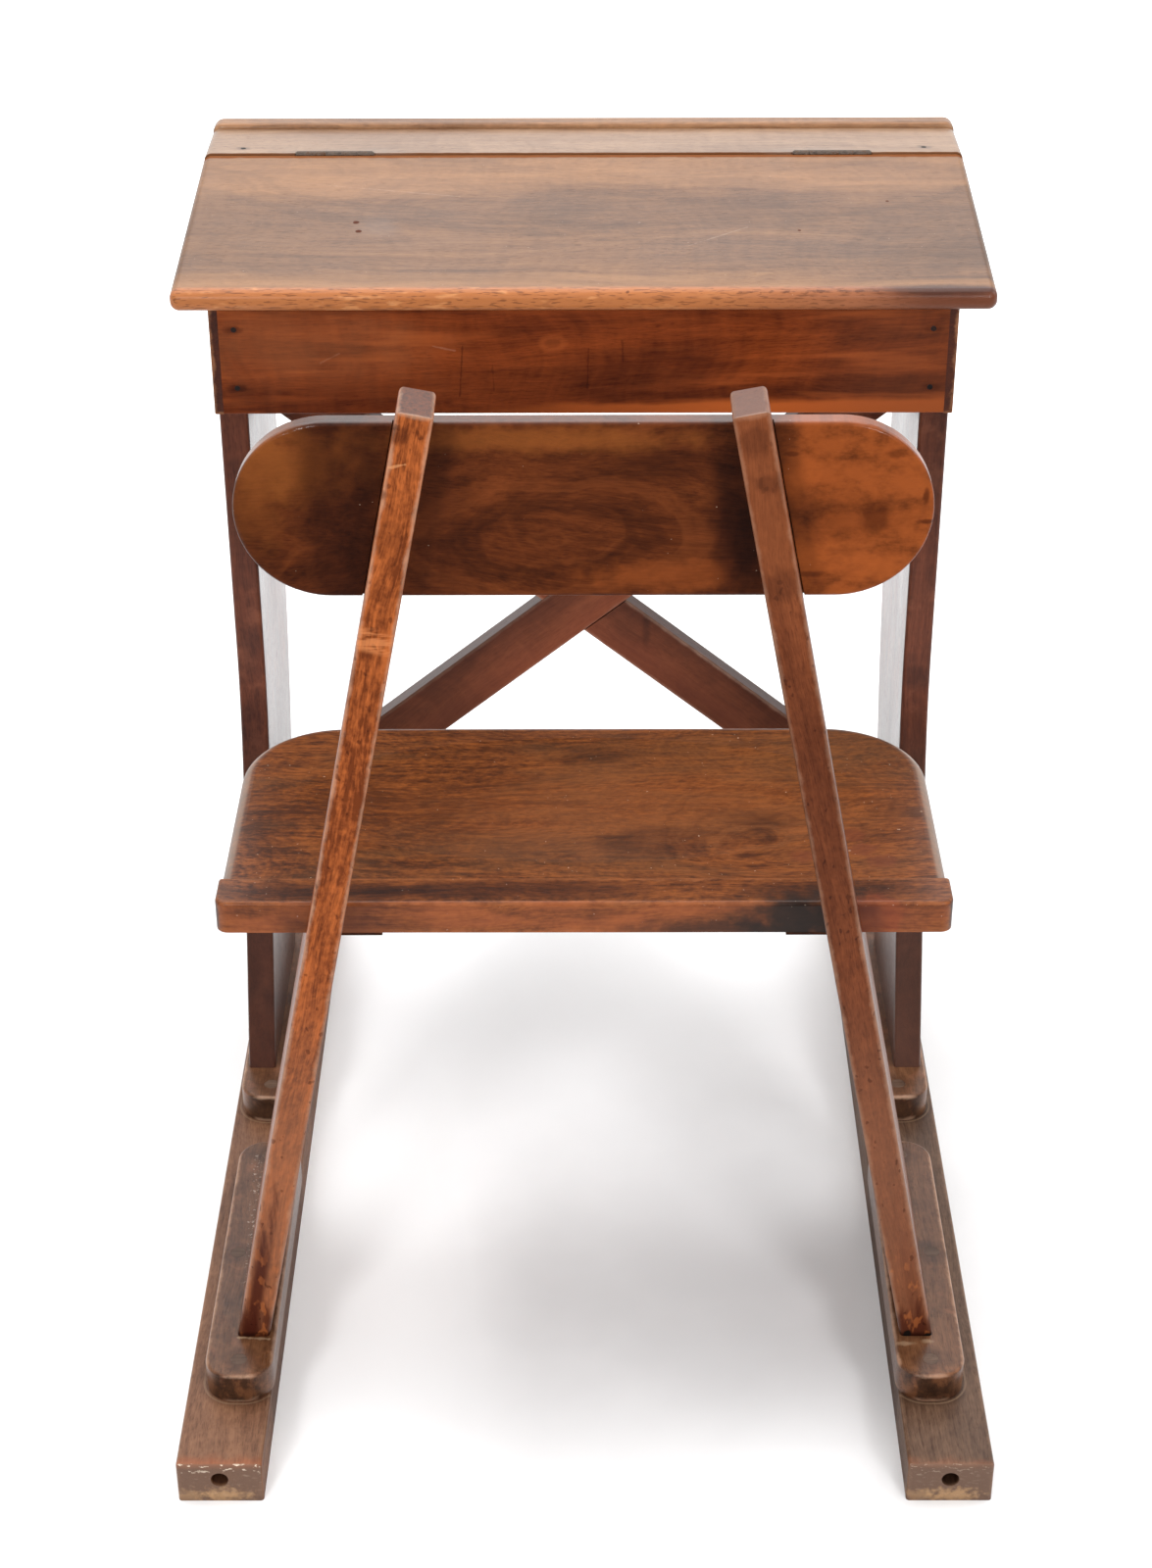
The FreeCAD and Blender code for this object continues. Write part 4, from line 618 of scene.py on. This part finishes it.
SEAT_GLOW = (((0.05, -0.150, SEAT_LEVEL), (0.20, 0.050, 0.05), 0.3),)
SEAT_STAINS = (
    ((0.010, -0.066, 0.427), (0.028, 0.012, 0.05), 0.5),
    ((0.058, -0.193, SEAT_LEVEL), (0.045, 0.022, 0.05), 0.5),
    ((0.132, -0.172, SEAT_LEVEL), (0.010, 0.020, 0.05), 0.35),
    ((-0.17, -0.150, SEAT_LEVEL), (0.100, 0.024, 0.05), 0.2),
    ((0.135, -0.165, SEAT_LEVEL), (0.030, 0.012, 0.05), 0.3),
)
SEAT_DENTS = (
    ((0.118, -0.214, SEAT_LEVEL), (0.010, 0.003, 0.05), 0.8),
    ((0.020, -0.184, SEAT_LEVEL), (0.012, 0.003, 0.05), 0.6),
    ((0.150, -0.104, 0.426), (0.014, 0.003, 0.05), 0.4),
)
SEAT_SWIRL = (0.125, -0.183, SEAT_LEVEL)
SEAT_PATCHES = (
    (0.203, -0.206, 0.425),
    (0.196, -0.186, 0.425),
    (0.216, -0.221, 0.425),
    (0.160, -0.215, 0.425),
)


def seat_marks(s, colour):
    olive = s.noise(s.stretched(s.place, (6.0, 20.0, 1.0), (0.3, 0.6, 0.0)), 1.0, 4.0, 0.6)[0]
    colour = s.mix(s.times(s.fade(olive, 0.44, 0.64), 0.4), colour, tone(84, 54, 30))
    colour = spots(s, colour, SEAT_GLOW, tone(124, 66, 28), 1.5)
    colour = spots(s, colour, SEAT_STAINS, grain=55.0)
    colour = spots(s, colour, SEAT_DENTS, grain=160.0)
    colour = swirl(s, colour, SEAT_SWIRL, (0.050, 0.045, 1.0), 4.0, 0.45, tone(136, 82, 44))
    # Painted sheen: the rounded ends turn pale grey where they tilt to the sides.
    sideways, _, upward = s.split(s.normal)
    round_end_sheen = s.times(s.fade(s.apart(sideways, 0.0), 0.12, 0.45), s.fade(upward, 0.10, 0.35))
    colour = s.mix(s.times(round_end_sheen, 0.45), colour, tone(150, 132, 118))
    patches = [(centre, (0.011, 0.008, 0.05), 0.55) for centre in SEAT_PATCHES]
    return spots(s, colour, patches, tone(92, 42, 22), 0.6, 0.3, 120.0)


SEAT_RAIL_STAINS = (
    ((-0.05, -0.258, 0.428), (0.09, 0.012, 0.02), 0.75),
    ((-0.18, -0.262, 0.428), (0.08, 0.012, 0.02), 0.7),
    ((0.180, -0.262, 0.428), (0.06, 0.014, 0.02), 0.55),
    ((-0.17, -0.280, 0.405), (0.05, 0.02, 0.014), 0.45),
)
SEAT_RAIL_BLACK = (
    ((0.158, -0.277, 0.414), (0.046, 0.02, 0.020), 0.95),
    ((0.100, -0.277, 0.404), (0.060, 0.02, 0.010), 0.75),
)
SEAT_RAIL_RUST = (((0.205, -0.280, 0.414), (0.022, 0.02, 0.02), 0.4),)


def rail_marks(s, colour):
    front = s.fade(s.y, SEAT_RAIL_FACE + 0.004, SEAT_RAIL_FACE + 0.001)
    cloud = s.noise(s.stretched(s.place, (14.0, 1.0, 60.0), (0.2, 0.0, 0.5)), 1.0, 3.0)[0]
    patchy = s.fade(cloud, 0.35, 0.60)
    colour = s.mix(s.times(front, s.add(0.15, s.times(patchy, 0.35))), colour, tone(146, 78, 41))
    colour = spots(s, colour, SEAT_RAIL_STAINS, grain=60.0)
    colour = spots(s, colour, SEAT_RAIL_BLACK, tone(26, 16, 11), 1.2, 0.4, 60.0)
    return spots(s, colour, SEAT_RAIL_RUST, tone(128, 54, 26), 0.5, 0.25, 90.0)


RIGHT_UPRIGHT_DENTS = (
    ((0.108, UPRIGHT_FACE, 0.800), (0.008, 0.02, 0.010), 0.5),
    ((0.119, UPRIGHT_FACE, 0.772), (0.012, 0.02, 0.006), 0.4),
    ((0.128, UPRIGHT_FACE, 0.700), (0.012, 0.02, 0.010), 0.4),
)
RIGHT_UPRIGHT_CHIPS = (
    ((0.245, UPRIGHT_FACE, SHOE_TOP + 0.002), (0.003, 0.02, 0.004), 1.0),
    ((0.261, UPRIGHT_FACE, SHOE_TOP), (0.004, 0.02, 0.003), 1.0),
)
LEFT_UPRIGHT_DENTS = (
    ((-0.116, UPRIGHT_FACE, 0.806), (0.008, 0.02, 0.006), 0.7),
    ((-0.128, UPRIGHT_FACE, 0.765), (0.004, 0.02, 0.003), 0.7),
    ((-0.126, UPRIGHT_FACE, 0.735), (0.010, 0.02, 0.012), 0.35),
)
LEFT_UPRIGHT_SCRATCH = (((-0.130, UPRIGHT_FACE, 0.782), (-0.112, UPRIGHT_FACE, 0.786), 0.4),)


def upright_marks(side):
    def marks(s, colour):
        colour = upright_foot(s, colour, side)
        return left_upright_marks(s, colour) if side < 0 else right_upright_marks(s, colour)
    return marks


def upright_foot(s, colour, side):
    """A paler, greyer lower half that is a painted reflection of the floor, a dark ragged stain with bare
    patches at the foot, small nicks all over, and painted shade where the foot meets the shoe.
    """
    def scatter(scale, shift, detail):
        return s.noise(s.stretched(s.place, scale, shift), 1.0, detail)[0]

    outward = s.times(s.across, -side)
    ragged = s.centred(scatter((160.0, 60.0, 25.0), (side, 0.0, 0.0), 3.0), 0.16)
    # Painted reflection of the floor: towards the bottom the upright turns paler and greyer.
    colour = s.mix(s.times(s.fade(s.z, 0.42, 0.22), 0.42 - side * 0.08), colour, tone(126, 86, 64))
    stain = tone(58, 21, 12)
    ahead = s.fade(s.y, -0.268, -0.290)
    foot = s.times(s.fade(s.add(s.z, s.times(ragged, 0.5)), 0.100, 0.070), ahead)
    colour = s.mix(s.times(foot, 0.8), colour, stain)
    rising = s.fade(s.add(s.z, ragged), 0.21, 0.13)
    streak = s.times(s.fade(s.apart(outward, 0.003), 0.008, 0.002), rising)
    colour = s.mix(s.times(streak, 0.9 if side < 0 else 0.25), colour, stain)
    low = s.times(s.fade(s.add(s.z, ragged), 0.17, 0.09), ahead)
    bare = s.fade(scatter((150.0, 150.0, 70.0), (0.0, side, 0.0), 2.0), 0.56, 0.66)
    colour = s.mix(s.times(low, bare, 0.4), colour, tone(166, 94, 50))
    nick = s.fade(scatter((190.0, 190.0, 130.0), (1.0, side, 0.3), 1.0), 0.68, 0.74)
    colour = s.stain(s.times(nick, 0.6), colour)
    # Painted shade along the bottom of the upright, where it stands on the shoe.
    return s.stain(s.times(s.fade(s.z, SHOE_TOP + 0.006, SHOE_TOP + 0.001), 0.9), colour)


def right_upright_marks(s, colour):
    """A lighter top, a dark middle, dents near the top and black chips at the foot."""
    colour = s.mix(s.times(s.fade(s.z, 0.67, 0.72), 0.3), colour, tone(130, 72, 40))
    colour = s.stain(s.times(s.fade(s.apart(s.z, 0.53), 0.15, 0.05), 0.4), colour)
    colour = spots(s, colour, RIGHT_UPRIGHT_DENTS, grain=90.0)
    return spots(s, colour, RIGHT_UPRIGHT_CHIPS, tone(16, 12, 10), 0.5, 0.3, 200.0)


def left_upright_marks(s, colour):
    """A scraped band below the backrest, dark dents near the top and one pale scratch."""
    band = s.fade(s.apart(s.add(s.z, s.times(s.add(s.x, 0.137), 0.25)), 0.660), 0.011, 0.006)
    fibre = s.noise(s.stretched(s.place, (60.0, 1.0, 420.0), (0.0, 0.0, 0.0)))[0]
    colour = s.mix(s.times(band, s.fade(fibre, 0.36, 0.60), 0.5), colour, tone(196, 124, 76))
    colour = spots(s, colour, LEFT_UPRIGHT_DENTS, grain=180.0)
    return strokes(s, colour, LEFT_UPRIGHT_SCRATCH, 0.0012, tone(206, 146, 98))


LEG_KNOT = (((0.278, 0.118, 0.384), (0.012, 0.03, 0.010), 0.6),)


def leg_marks(side):
    def marks(s, colour):
        worn = s.fade(s.noise(s.place, 38.0, 4.0, 0.65)[0], 0.50, 0.70)
        colour = s.mix(s.times(worn, 0.4), colour, tone(116, 66, 44))
        cloud = s.noise(s.stretched(s.place, (30.0, 30.0, 14.0), (side, 0.5, 0.0)), 1.0, 3.0)[0]
        colour = s.stain(s.times(s.fade(cloud, 0.50, 0.68), 0.5), colour)
        # Painted shade below the seat: the lower legs are darkened, and the right one turned greyer as a
        # painted sheen.
        below = s.fade(s.z, 0.36, 0.27)
        colour = s.mix(s.times(below, 0.65), colour, tone(48, 24, 15) if side < 0 else tone(62, 42, 34))
        return spots(s, colour, LEG_KNOT, grain=90.0) if side > 0 else colour
    return marks


BRACE_SMEAR = (((0.054, BRACE_FACE, 0.379), (0.0035, 0.01, 0.016), 0.5),)


def brace_marks(s, colour):
    """Darker along the upper edge, redder along the lower one, with a smear near the crossing."""
    height = s.add(s.across, s.centred(s.rough(16.0), 0.035))
    colour = s.stain(s.times(s.fade(height, -0.002, 0.024), 0.6), colour)
    colour = s.mix(s.times(s.fade(height, 0.004, -0.020), 0.35), colour, tone(122, 60, 38))
    return spots(s, colour, BRACE_SMEAR, soft=1.2, grain=90.0)


def skid_marks(side):
    def marks(s, colour):
        dirt = s.noise(s.stretched(s.place, (26.0, 10.0, 26.0), (side, 0.0, 0.0)), 1.0, 4.0, 0.65)[0]
        colour = s.stain(s.times(s.fade(dirt, 0.48, 0.70), 0.35), colour)
        for shoe in ("seat_shoe_", "desk_shoe_"):
            gap = s.plan_gap(*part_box(shoe + SIDE_NAMES[side]), SHOE_CORNER)
            # Painted shade on the skid, close round the foot of each shoe.
            colour = s.stain(s.times(s.fade(gap, 0.009, 0.0), 0.5), colour)
            line = s.fade(s.apart(gap, 0.0024), 0.0012, 0.0004)
            dusty = s.add(0.1, s.times(s.rough(60.0), 0.4))
            colour = s.mix(s.times(line, dusty), colour, tone(156, 126, 100))
        s.dull = s.times(s.fade(s.times(s.split(s.normal)[0], -side), 0.5, 0.8), 0.8)
        depth = s.add(s.y, s.centred(s.rough(60.0), 0.02))
        rim = s.times(s.fade(depth, SKID_NEAR + 0.011, SKID_NEAR + 0.001),
                      s.fade(s.z, SKID_TOP - 0.006, SKID_TOP - 0.001))
        colour = s.mix(s.times(rim, 0.35 - side * 0.15), colour, tone(150, 80, 44))
        return skid_end(s, colour, side)
    return marks


def skid_end(s, colour, side):
    """The skid's scuffed near end: grey-brown, with a pale patch below the hole and chips by its edges."""
    end = s.fade(s.y, SKID_NEAR + 0.0018, SKID_NEAR + 0.0005)
    colour = s.mix(s.times(end, 0.65), colour, tone(108, 81, 65))
    hole = (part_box("skid_" + SIDE_NAMES[side])[0][0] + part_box("skid_" + SIDE_NAMES[side])[1][0]) / 2
    scuffs = (((hole + 0.004, SKID_NEAR, 0.005), (0.014, 0.01, 0.006), 0.5),
              ((hole - 0.022, SKID_NEAR, 0.005), (0.012, 0.01, 0.005), 0.3))
    colour = spots(s, colour, scuffs, tone(186, 146, 102), 1.4, 0.8, 220.0)
    # Painted shade inside the link hole.
    from_hole = s.vector("LENGTH", s.join(s.add(s.x, -hole), 0.0, s.add(s.z, -LINK_HOLE_HEIGHT)))
    inside = s.times(s.fade(from_hole, LINK_HOLE_RADIUS + 0.001, LINK_HOLE_RADIUS),
                     s.fade(s.y, SKID_NEAR + 0.0002, SKID_NEAR + 0.004))
    colour = s.stain(s.times(inside, 0.9), colour)
    chips = s.noise(s.stretched(s.place, (0.6, 1.0, 1.4), (side, 0.0, 0.0)), 330.0, 3.0)[0]
    upper = s.fade(s.add(s.z, s.centred(s.rough(90.0), 0.016)), 0.024, SKID_TOP - 0.001)
    share = s.add(0.04, s.times(upper, 0.75 if side < 0 else 0.15))
    colour = s.mix(s.times(end, s.fade(chips, 0.58, 0.64), share), colour, tone(220, 204, 182))
    # Darker towards the bottom of the end face, where the skid meets the floor.
    return s.stain(s.times(s.fade(s.z, 0.006, 0.0), 0.3), colour)


FOOT_SPECKS = ((-0.270, -0.10, SHOE_TOP), (-0.262, -0.26, SHOE_TOP))
FOOT_EDGE = (((-0.264, -0.3190, SHOE_TOP), (-0.240, -0.3210, SHOE_TOP), 0.35),)
FOOT_CRUMBS = (
    ((0.242, -0.3260, SHOE_TOP), (0.007, 0.002, 0.002), 0.3),
    ((0.260, -0.3235, SHOE_TOP), (0.004, 0.002, 0.002), 0.3),
)


def shoe_marks(s, colour):
    """Dirt and bare patches, a blotched nose, dark rings round the pellets and dust at the uprights' feet."""
    dirt = s.fade(s.noise(s.place, 45.0, 4.0, 0.65)[0], 0.48, 0.66)
    colour = s.stain(s.times(dirt, 0.4), colour)
    bare = s.fade(s.noise(s.place, 60.0, 3.0, 0.6)[0], 0.54, 0.74)
    colour = s.mix(s.times(bare, 0.4), colour, tone(134, 84, 58))
    nose = s.fade(s.y, -0.346, -0.354)
    blotch = s.noise(s.stretched(s.place, (1.0, 1.0, 0.6), (0.4, 0.0, 0.0)), 85.0, 4.0, 0.65)[0]
    colour = s.mix(s.times(nose, s.fade(blotch, 0.46, 0.62), 0.3), colour, tone(140, 88, 56))
    colour = s.stain(s.times(nose, s.fade(blotch, 0.46, 0.32), 0.5), colour)
    speck = s.fade(s.noise(s.place, 330.0, 2.0)[0], 0.56, 0.66)
    colour = s.mix(s.times(s.stroke(*FOOT_SPECKS, 0.005), speck, 0.4), colour, tone(200, 184, 168))
    halos = [(spot, (0.013, 0.013, 0.02), 0.45) for spot in middles("shoe_pellets")]
    colour = spots(s, colour, halos, soft=0.8, grain=110.0)
    dust = tone(186, 158, 128)
    colour = strokes(s, colour, FOOT_EDGE, 0.0014, dust)
    colour = spots(s, colour, FOOT_CRUMBS, dust, 1.2, 0.5, 220.0)
    # Darker towards the bottom, where the shoe meets the skid.
    return s.stain(s.times(s.fade(s.z, SKID_TOP + 0.006, SKID_TOP), 0.5), colour)


LID = shades(113, 77, 48, 0.45)
HINGE_RAIL = shades(131, 102, 79, 0.35)
LEDGE = shades(124, 88, 60, 0.45)
APRON = shades(96, 40, 12, 0.55)
LEG = shades(80, 38, 21)
BRACES = shades(95, 48, 27)
BACKREST = shades(74, 33, 11, 0.6)
SEAT = shades(92, 47, 16, 0.65)
SKIDS = {-1: shades(110, 74, 52, 0.4), 1: shades(90, 65, 48, 0.4)}
SHOE = shades(96, 62, 40, 0.45)
PELLET = shades(86, 65, 52)
UPRIGHTS = {-1: shades(130, 66, 29, 0.5), 1: shades(96, 49, 26, 0.5)}
LID_FACE = Vector((0, -math.sin(SLOPE), math.cos(SLOPE)))
APRON_GRAIN = Vector((math.cos(APRON_RUN), 0, math.sin(APRON_RUN)))

wood("lid", LID, X, LID_FACE, 1.0, lid_marks, pith=(0.02, 0.16), rings=0.9, streaks=0.5, lines=0.35,
     mottle=0.6, grit=0.3, flecks=0.15, shine=0.16, coat=0.21, wear=0.5, patches=0.005,
     worn=tone(200, 164, 136))
wood("hinge_rail", HINGE_RAIL, X, Z, 2.0, hinge_rail_marks, pith=(0.05, 0.10), rings=0.3, pores=0.25,
     shine=0.4, coat=0.45)
wood("back_ledge", LEDGE, X, -Y, 3.0, pores=0.25, coat=0.5, wear=0.1)
wood("box_front", APRON, APRON_GRAIN, -Y, 4.0, apron_marks, pith=(-0.01, 0.05), rings=0.6, streaks=0.7,
     lines=0.4, mottle=0.5, ripple=0.45, shine=0.06, coat=0.15, front=0.5)
wood("box_back", APRON, X, -Y, 5.0)
wood("box_bottom", APRON, X, Z, 6.0, gloss=0.5, coat=0.0)
wood("box_side_left", APRON, Y, -X, 7.0, wear=0.3)
wood("box_side_right", APRON, Y, X, 8.0, wear=0.3)
for seed, name, side in ((11.0, "brace_rising_right", 1), (12.0, "brace_rising_left", -1)):
    rising = Vector((math.cos(BRACE), 0, side * math.sin(BRACE)))
    # The braces' pale top arrises are partly worn varnish and partly a painted highlight.
    wood(name, BRACES, rising, -Y, seed, brace_marks, mottle=0.8, streaks=0.35, lines=0.25, pores=0.25,
         wear=0.35 - side * 0.15, patches=0.004, worn=tone(190, 158, 138), front=0.3, top=side * 0.6)
wood("seat_plank", SEAT, X, Z, 13.0, seat_marks, pith=(-0.05, 0.01), arch=(0.12, 0.3), warp=1.4, rings=1.0,
     streaks=0.8, lines=0.85, grit=1.2, ripple=0.3, pores=0.6, flecks=0.4, gloss=0.4, coat=0.18)
wood("seat_rear_rail", SEAT, X, Z, 14.0, rail_marks, streaks=0.8, lines=0.8, grit=1.0, pores=0.6,
     flecks=0.2, coat=0.25, wear=0.25, worn=tone(160, 100, 60))
wood("backrest_board", BACKREST, X, -Y, 17.0, backrest_marks, pith=(0.02, 0.01), arch=(0.03, 0.4), warp=1.8,
     rings=0.6, streaks=0.25, lines=0.35, grit=0.5, mottle=0.6, ripple=0.25, flecks=0.25, shine=0.04,
     coat=0.3, front=0.35, top=1.5)
for side, name in SIDE_NAMES.items():
    leaning = Vector((-side * math.sin(LEAN), 0, math.cos(LEAN)))
    wood("desk_standard_" + name, LEG, Z, side * X, 9.5 + side / 2, leg_marks(side), coat=0.5, front=0.5)
    wood("seat_cleat_" + name, SEAT, Y, Z, 15.5 + side / 2, gloss=0.5, coat=0.0)
    # The uprights' pale, nearly unbroken arrises are a painted highlight as well as rubbed varnish.
    wood("seat_standard_" + name, UPRIGHTS[side], leaning, -Y, 18.0 + side, upright_marks(side), rings=0.4,
         lines=0.65 - side * 0.25, grit=0.75 - side * 0.25, mottle=0.8 - side * 0.2, ripple=0.25, shine=0.06,
         coat=0.3, front=0.3, top=0.4 + side * 0.2, wear=0.32 - side * 0.08, patches=0.006,
         worn=tone(196, 156, 128))
    wood("skid_" + name, SKIDS[side], Y, Z, 21.0 + side, skid_marks(side), rings=0.4, lines=0.7, grit=0.6,
         gloss=0.46, shine=0.3, coat=0.0, wear=0.2, worn=tone(160, 124, 98))
    for place, seed in (("seat_shoe_", 24.0), ("desk_shoe_", 27.0)):
        # The shoes' pale, nearly unbroken rims are a painted highlight as well as rubbed varnish.
        wood(place + name, SHOE, Y, Z, seed + side, shoe_marks, rings=0.4, grit=0.4, gloss=0.32, shine=0.2,
             coat=0.14, front=0.3, wear=0.6, patches=0.006, worn=tone(184, 146, 120))
wood("shoe_pellets", PELLET, X, Z, 30.0, gloss=0.45, coat=0.15)
wood("backrest_pellets", BACKREST, X, Y, 31.0)
wood("rail_dowels", SEAT, Y, Z, 32.0, gloss=0.5)


def metal(name, dark, light, rust, roughness, names):
    """Old steel: dulled, with specks and blooms of rust."""
    s = Shader(name)
    bloom = s.noise(s.place, 260.0, 4.0, 0.65)[0]
    speck = s.noise(s.place, 1400.0, 2.0)[0]
    colour = s.ramp(s.add(s.times(bloom, 0.7), s.times(speck, 0.3)), ((0.35, dark), (0.65, light)))
    colour = s.mix(s.fade(bloom, 0.52, 0.68), colour, rust)
    gloss = s.add(roughness, s.centred(bloom, 0.5))
    height = s.add(s.times(bloom, 0.5), s.times(speck, 0.5))
    s.finish(colour, gloss, height, 0.3, 0.5, 0.0, 0.1, 0.85)
    paint(names, s.material)


hinge_nodes = [name for name in nodes if name.startswith(("hinge_rail_leaf", "hinge_lid_leaf", "hinge_pin"))]
metal("hinge_steel", tone(58, 49, 43), tone(104, 92, 84), tone(78, 54, 38), 0.5, hinge_nodes)
nail_nodes = [name for name in nodes if name.endswith("nails")]
metal("nail_iron", tone(22, 18, 17), tone(44, 38, 36), tone(46, 28, 20), 0.55, nail_nodes)
screw_nodes = [name for name in nodes if name.endswith("screws")]
metal("screw_steel", tone(86, 82, 78), tone(140, 136, 130), tone(92, 60, 40), 0.4, screw_nodes)

FLOOR_REACH = 9.0
PAPER, PAPER_FRONT, PAPER_SHADE = (0.90, 0.90, 0.905, 1.0), (0.50, 0.50, 0.505, 1.0), (0.55, 0.55, 0.56, 1.0)
FLOOR_SHADES = (
    ((0.12, -0.13, 0.0), (0.16, 0.17, 1.0), 0.5),
    ((0.02, 0.06, 0.0), (0.24, 0.30, 1.0), 0.2),
)
FLOOR_LIFT = ((-0.19, -0.18, 0.0), (0.10, 0.34, 1.0))


def add_floor():
    """A pale paper sweep: greyer in front and shaded under the desk, with a soft glow far behind it.

    A faint glow beside the left skid lifts the shadow there.
    """
    mesh = bpy.data.meshes.new("floor")
    grid = bmesh.new()
    bmesh.ops.create_grid(grid, x_segments=8, y_segments=8, size=FLOOR_REACH)
    grid.to_mesh(mesh)
    grid.free()
    floor = bpy.data.objects.new("floor", mesh)
    scene.collection.objects.link(floor)
    s = Shader("floor_paper")
    smudge = s.fade(s.noise(s.place, 9.0, 5.0, 0.7)[0], 0.60, 0.78)
    colour = s.mix(s.fade(s.y, -0.55, -1.3), PAPER, PAPER_FRONT)
    colour = s.mix(s.times(smudge, 0.05), colour, (0.6, 0.6, 0.62, 1.0))
    for place, radii, amount in FLOOR_SHADES:
        under = s.blob(place, radii, 1.6, 0.25, 6.0)
        colour = s.mix(s.times(under, amount), colour, PAPER_SHADE)
    surface = s.finish(colour, 0.7, s.noise(s.place, 500.0, 2.0)[0], 0.03, 0.2, 0.0, 0.5)
    surface.inputs["Emission Color"].default_value = (1.0, 1.0, 1.0, 1.0)
    lift = s.blob(*FLOOR_LIFT, 1.4, 0.1, 4.0)
    glow = s.add(s.times(s.fade(s.y, 0.7, 2.2), 0.5), s.times(lift, 0.2))
    s.put(surface.inputs["Emission Strength"], glow)
    mesh.materials.append(s.material)


# Each light has its name, its place, what it is aimed at, its size in metres, its power in watts and its
# spread in degrees.
LIGHTS = (
    ("overhead", (0.0, 0.45, 2.6), (0, 0.1, 0), (2.0, 1.4), 24, 180),
    ("back", (0.0, 2.5, 2.7), (0, 0, 0.7), (3.2, 1.2), 26, 180),
    ("left", (-1.4, 0.5, 2.5), (0, 0, 0.4), (1.2, 1.6), 12, 180),
    ("right", (2.0, 0.4, 1.9), (0, 0, 0.4), (1.2, 1.6), 14, 180),
    ("front_left", (-1.3, -3.2, 1.9), (0, 0, 0.55), (0.6, 0.6), 5.6, 50),
    ("front_right", (1.4, -3.1, 1.8), (0, 0, 0.55), (0.6, 0.6), 4.7, 50),
)


def add_light(name, place, target, size, power, spread):
    data = bpy.data.lights.new(name, "AREA")
    data.shape = "RECTANGLE"
    data.size, data.size_y = size
    data.energy = power
    data.spread = math.radians(spread)
    light = bpy.data.objects.new(name, data)
    light.location = place
    aim = Vector(target) - Vector(place)
    light.rotation_euler = aim.to_track_quat("-Z", "Y").to_euler()
    scene.collection.objects.link(light)


# How much a direction's height counts beside its depth, and the strength of the studio between two depths.
STUDIO_LEAN = 0.6
STUDIO_NEAR, STUDIO_FAR = -0.9, 0.35
STUDIO_DIM, STUDIO_BRIGHT = 0.3, 1.1


def add_world():
    """A bright studio behind and above the object, and a dim one in front of it."""
    world = bpy.data.worlds.new("studio")
    world.use_nodes = True
    scene.world = world
    tree = world.node_tree
    tree.nodes.clear()
    place = tree.nodes.new("ShaderNodeTexCoord")
    parts = tree.nodes.new("ShaderNodeSeparateXYZ")
    tree.links.new(place.outputs["Generated"], parts.inputs[0])
    lean = tree.nodes.new("ShaderNodeMath")
    lean.operation = "MULTIPLY_ADD"
    lean.inputs[1].default_value = STUDIO_LEAN
    tree.links.new(parts.outputs[2], lean.inputs[0])
    tree.links.new(parts.outputs[1], lean.inputs[2])
    spread = tree.nodes.new("ShaderNodeMapRange")
    spread.interpolation_type = "SMOOTHSTEP"
    for socket, value in zip(spread.inputs[1:5], (STUDIO_NEAR, STUDIO_FAR, STUDIO_DIM, STUDIO_BRIGHT)):
        socket.default_value = value
    tree.links.new(lean.outputs[0], spread.inputs[0])
    sky = tree.nodes.new("ShaderNodeBackground")
    tree.links.new(spread.outputs[0], sky.inputs["Strength"])
    sky.inputs["Color"].default_value = (1.0, 1.0, 1.0, 1.0)
    output = tree.nodes.new("ShaderNodeOutputWorld")
    tree.links.new(sky.outputs[0], output.inputs[0])


# The photograph's view: place in metres, angles in degrees, sensor in millimetres, and the focal length in
# pixels of a frame that is 1600 pixels high.
CAMERA_PLACE = (0.0017, -1.9411, 1.5277)
CAMERA_PITCH, CAMERA_YAW, CAMERA_ROLL = 31.025, -0.242, -0.202
CAMERA_SENSOR = 36.0
FOCAL_PIXELS, FRAME_PIXELS = 2878.6, 1600


def add_camera():
    pitch, yaw, roll = (math.radians(angle) for angle in (CAMERA_PITCH, CAMERA_YAW, CAMERA_ROLL))
    data = bpy.data.cameras.new("camera")
    data.sensor_width = CAMERA_SENSOR
    data.lens = FOCAL_PIXELS * data.sensor_width / FRAME_PIXELS
    data.clip_start = 0.05
    camera = bpy.data.objects.new("camera", data)
    ahead = Vector((math.sin(yaw) * math.cos(pitch), math.cos(yaw) * math.cos(pitch), -math.sin(pitch)))
    level = Vector((math.cos(yaw), -math.sin(yaw), 0))
    above = level.cross(ahead)
    right = level * math.cos(roll) + above * math.sin(roll)
    up = above * math.cos(roll) - level * math.sin(roll)
    camera.matrix_world = Matrix.Translation(CAMERA_PLACE) @ Matrix((right, up, -ahead)).transposed().to_4x4()
    scene.collection.objects.link(camera)
    scene.camera = camera


add_floor()
add_world()
for light in LIGHTS:
    add_light(*light)
add_camera()
scene.view_settings.view_transform = "Standard"
